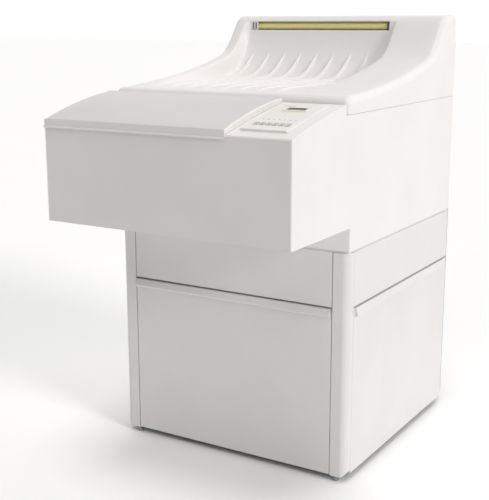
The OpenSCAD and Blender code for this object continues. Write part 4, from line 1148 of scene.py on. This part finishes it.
# %% Display frame and colour strips
yellow = coated("printed_strip_pale_yellow", "#ECE9C4", "#E9E5BD", 0.5, 2.0, 0.01)
red = coated("printed_strip_dusty_red", "#DDBBB6", "#D8B3AE", 0.5, 2.0, 0.01)
bpy.ops.mesh.primitive_plane_add(size=1, location=(0, 0, 3.4 * MM))
bezel = named("display_frame")
open_up(bezel)
bpy.ops.mesh.select_all(action="SELECT")
bpy.ops.transform.resize(value=(56 * MM, 28 * MM, 1))
bpy.ops.mesh.inset(thickness=6 * MM)
bpy.ops.mesh.delete(type="FACE")
shut()
apply_modifier(bezel, "SOLIDIFY", thickness=1.3 * MM, offset=1)
round_rim(bezel, above(4.6, 1), 0.5, 2)
smooth(bezel)
settle(lay_on_plate(bezel, 0, 50), FINISH["console_plastic"], BODY_OF["control_plate"],
       "console_plastic")

for name, coat, corner, far_corner in (
        ("yellow_strip", yellow, (-27, 29, 3.3), (27, 34, 3.8)),
        ("red_strip", red, (-40, 70, 3.3), (-14, 73, 3.8))):
    strip = box(name, corner, far_corner)
    round_rim(strip, above(0, 1), 0.15, 2)
    smooth(strip)
    settle(lay_on_plate(strip), coat, BODY_OF["control_plate"], "console_plastic")

# %% [markdown]
# ## Levelling feet
# A levelling foot is a steel pad turned on a lathe, on a threaded stud. It could be spun
# from its outline. A cylinder, squeezed at the floor and inset on top, comes to the same.
# The thread is a stack of rings, because at this size nobody sees that they don't climb.

# %% Turn one foot
THREAD_FROM, THREAD_STEP, THREAD_RINGS = 14.5, 1.5, 12
pad = rod("foot_pad", (0, 0, 6.8), 9, 13.6, 40)
open_up(pad)
pick(pad, faces=lambda f: f.normal.z < -0.9)
bpy.ops.transform.resize(value=(0.78, 0.78, 1))
pick(pad, faces=lambda f: f.normal.z > 0.9)
inset(2, -0.8)
shut()
round_rim(pad, lambda e: e.calc_face_angle(0) > 0.6, 0.6, 2)
stud = rod("foot_stud", (0, 0, 22.5), 3.8, 22, 24)
round_rim(stud, above(33), 0.8, 2)
open_up(stud)
cut_across("z", [THREAD_FROM + THREAD_STEP * i for i in range(THREAD_RINGS)])
pick(stud, edges=lambda e: climb(e) < 0.01 and THREAD_FROM - 0.5 < lower_end(e) < 32
     and round((lower_end(e) - THREAD_FROM) / THREAD_STEP) % 2 == 1)
bpy.ops.transform.resize(value=(0.86, 0.86, 1))
shut()
print("foot:", len(pad.data.polygons) + len(stud.data.polygons), "faces")

# %% [markdown]
# The four feet move as one, on one slide, so their copies are joined to one piece.

# %% Set four feet and join them
copies = []
for x, y in [(x, y) for x in (-272, 272) for y in (-153, 408)]:
    for part in (pad, stud):
        twin = copy_of(part, "foot_part")
        twin.location = (x * MM, y * MM, 0)
        copies.append(twin)
bpy.data.objects.remove(pad)
bpy.data.objects.remove(stud)
feet = join("levelling_feet_turned", copies)
smooth(feet)
stand_in(feet, "levelling_feet")

# %% [markdown]
# ## Supply bottles
# The two bottles are blown from natural polyethylene: round uprights, sloping shoulders
# and a ribbed screw cap. They could be drawn as a loft. A cube does as well: its uprights
# get a 24 mm bevel, and its top is inset and lifted into the shoulder. The cap is a
# cylinder with every other side strip pushed out for grip.

# %% Blow two bottles
BOTTLE_W, BOTTLE_D, BOTTLE_Y, BOTTLE_Z = 230, 320, BODY_Y + 70, (25, 287)
for name, x0 in (("developer_bottle", -238), ("fixer_bottle", 8)):
    piece = box(name + "_blown", (x0, BOTTLE_Y, BOTTLE_Z[0]),
                (x0 + BOTTLE_W, BOTTLE_Y + BOTTLE_D, BOTTLE_Z[1]))
    round_rim(piece, lambda e: climb(e) > 100, 24, 6)
    open_up(piece)
    pick(piece, faces=lambda f: f.normal.z > 0.9)
    bpy.ops.mesh.extrude_region_move(TRANSFORM_OT_translate={"value": (0, 0, 20 * MM)})
    bpy.ops.transform.resize(value=(0.72, 0.78, 1))
    inset(8, 7.5)
    bpy.ops.transform.resize(value=(0.62, 0.62, 1))
    pick(piece, faces=lambda f: f.normal.z < -0.9)
    inset(10, 4)
    shut()
    round_rim(piece, lambda e: 0.25 < e.calc_face_angle(0) < 1.4 and climb(e) < 0.1
              and not BOTTLE_Z[0] + 4.9 < lower_end(e) < BOTTLE_Z[1] - 7, 4, 3)
    middle = (x0 + BOTTLE_W / 2, BOTTLE_Y + BOTTLE_D / 2)
    cap = rod("cap", (*middle, 328), 26.6, 25.6, 60)
    open_up(cap)
    pick(cap, faces=lambda f: abs(f.normal.z) < 0.5
         and round(math.degrees(math.atan2(f.normal.y, f.normal.x)) / 6 - 0.5) % 2 == 0)
    bpy.ops.mesh.extrude_region_shrink_fatten(TRANSFORM_OT_shrink_fatten={"value": 1.2 * MM})
    shut()
    round_rim(cap, above(340, 1), 1.0, 2)
    piece = join(name + "_blown", (piece, cap, rod("neck", (*middle, 313), 24, 8)))
    smooth(piece, 40)
    stand_in(piece, name)
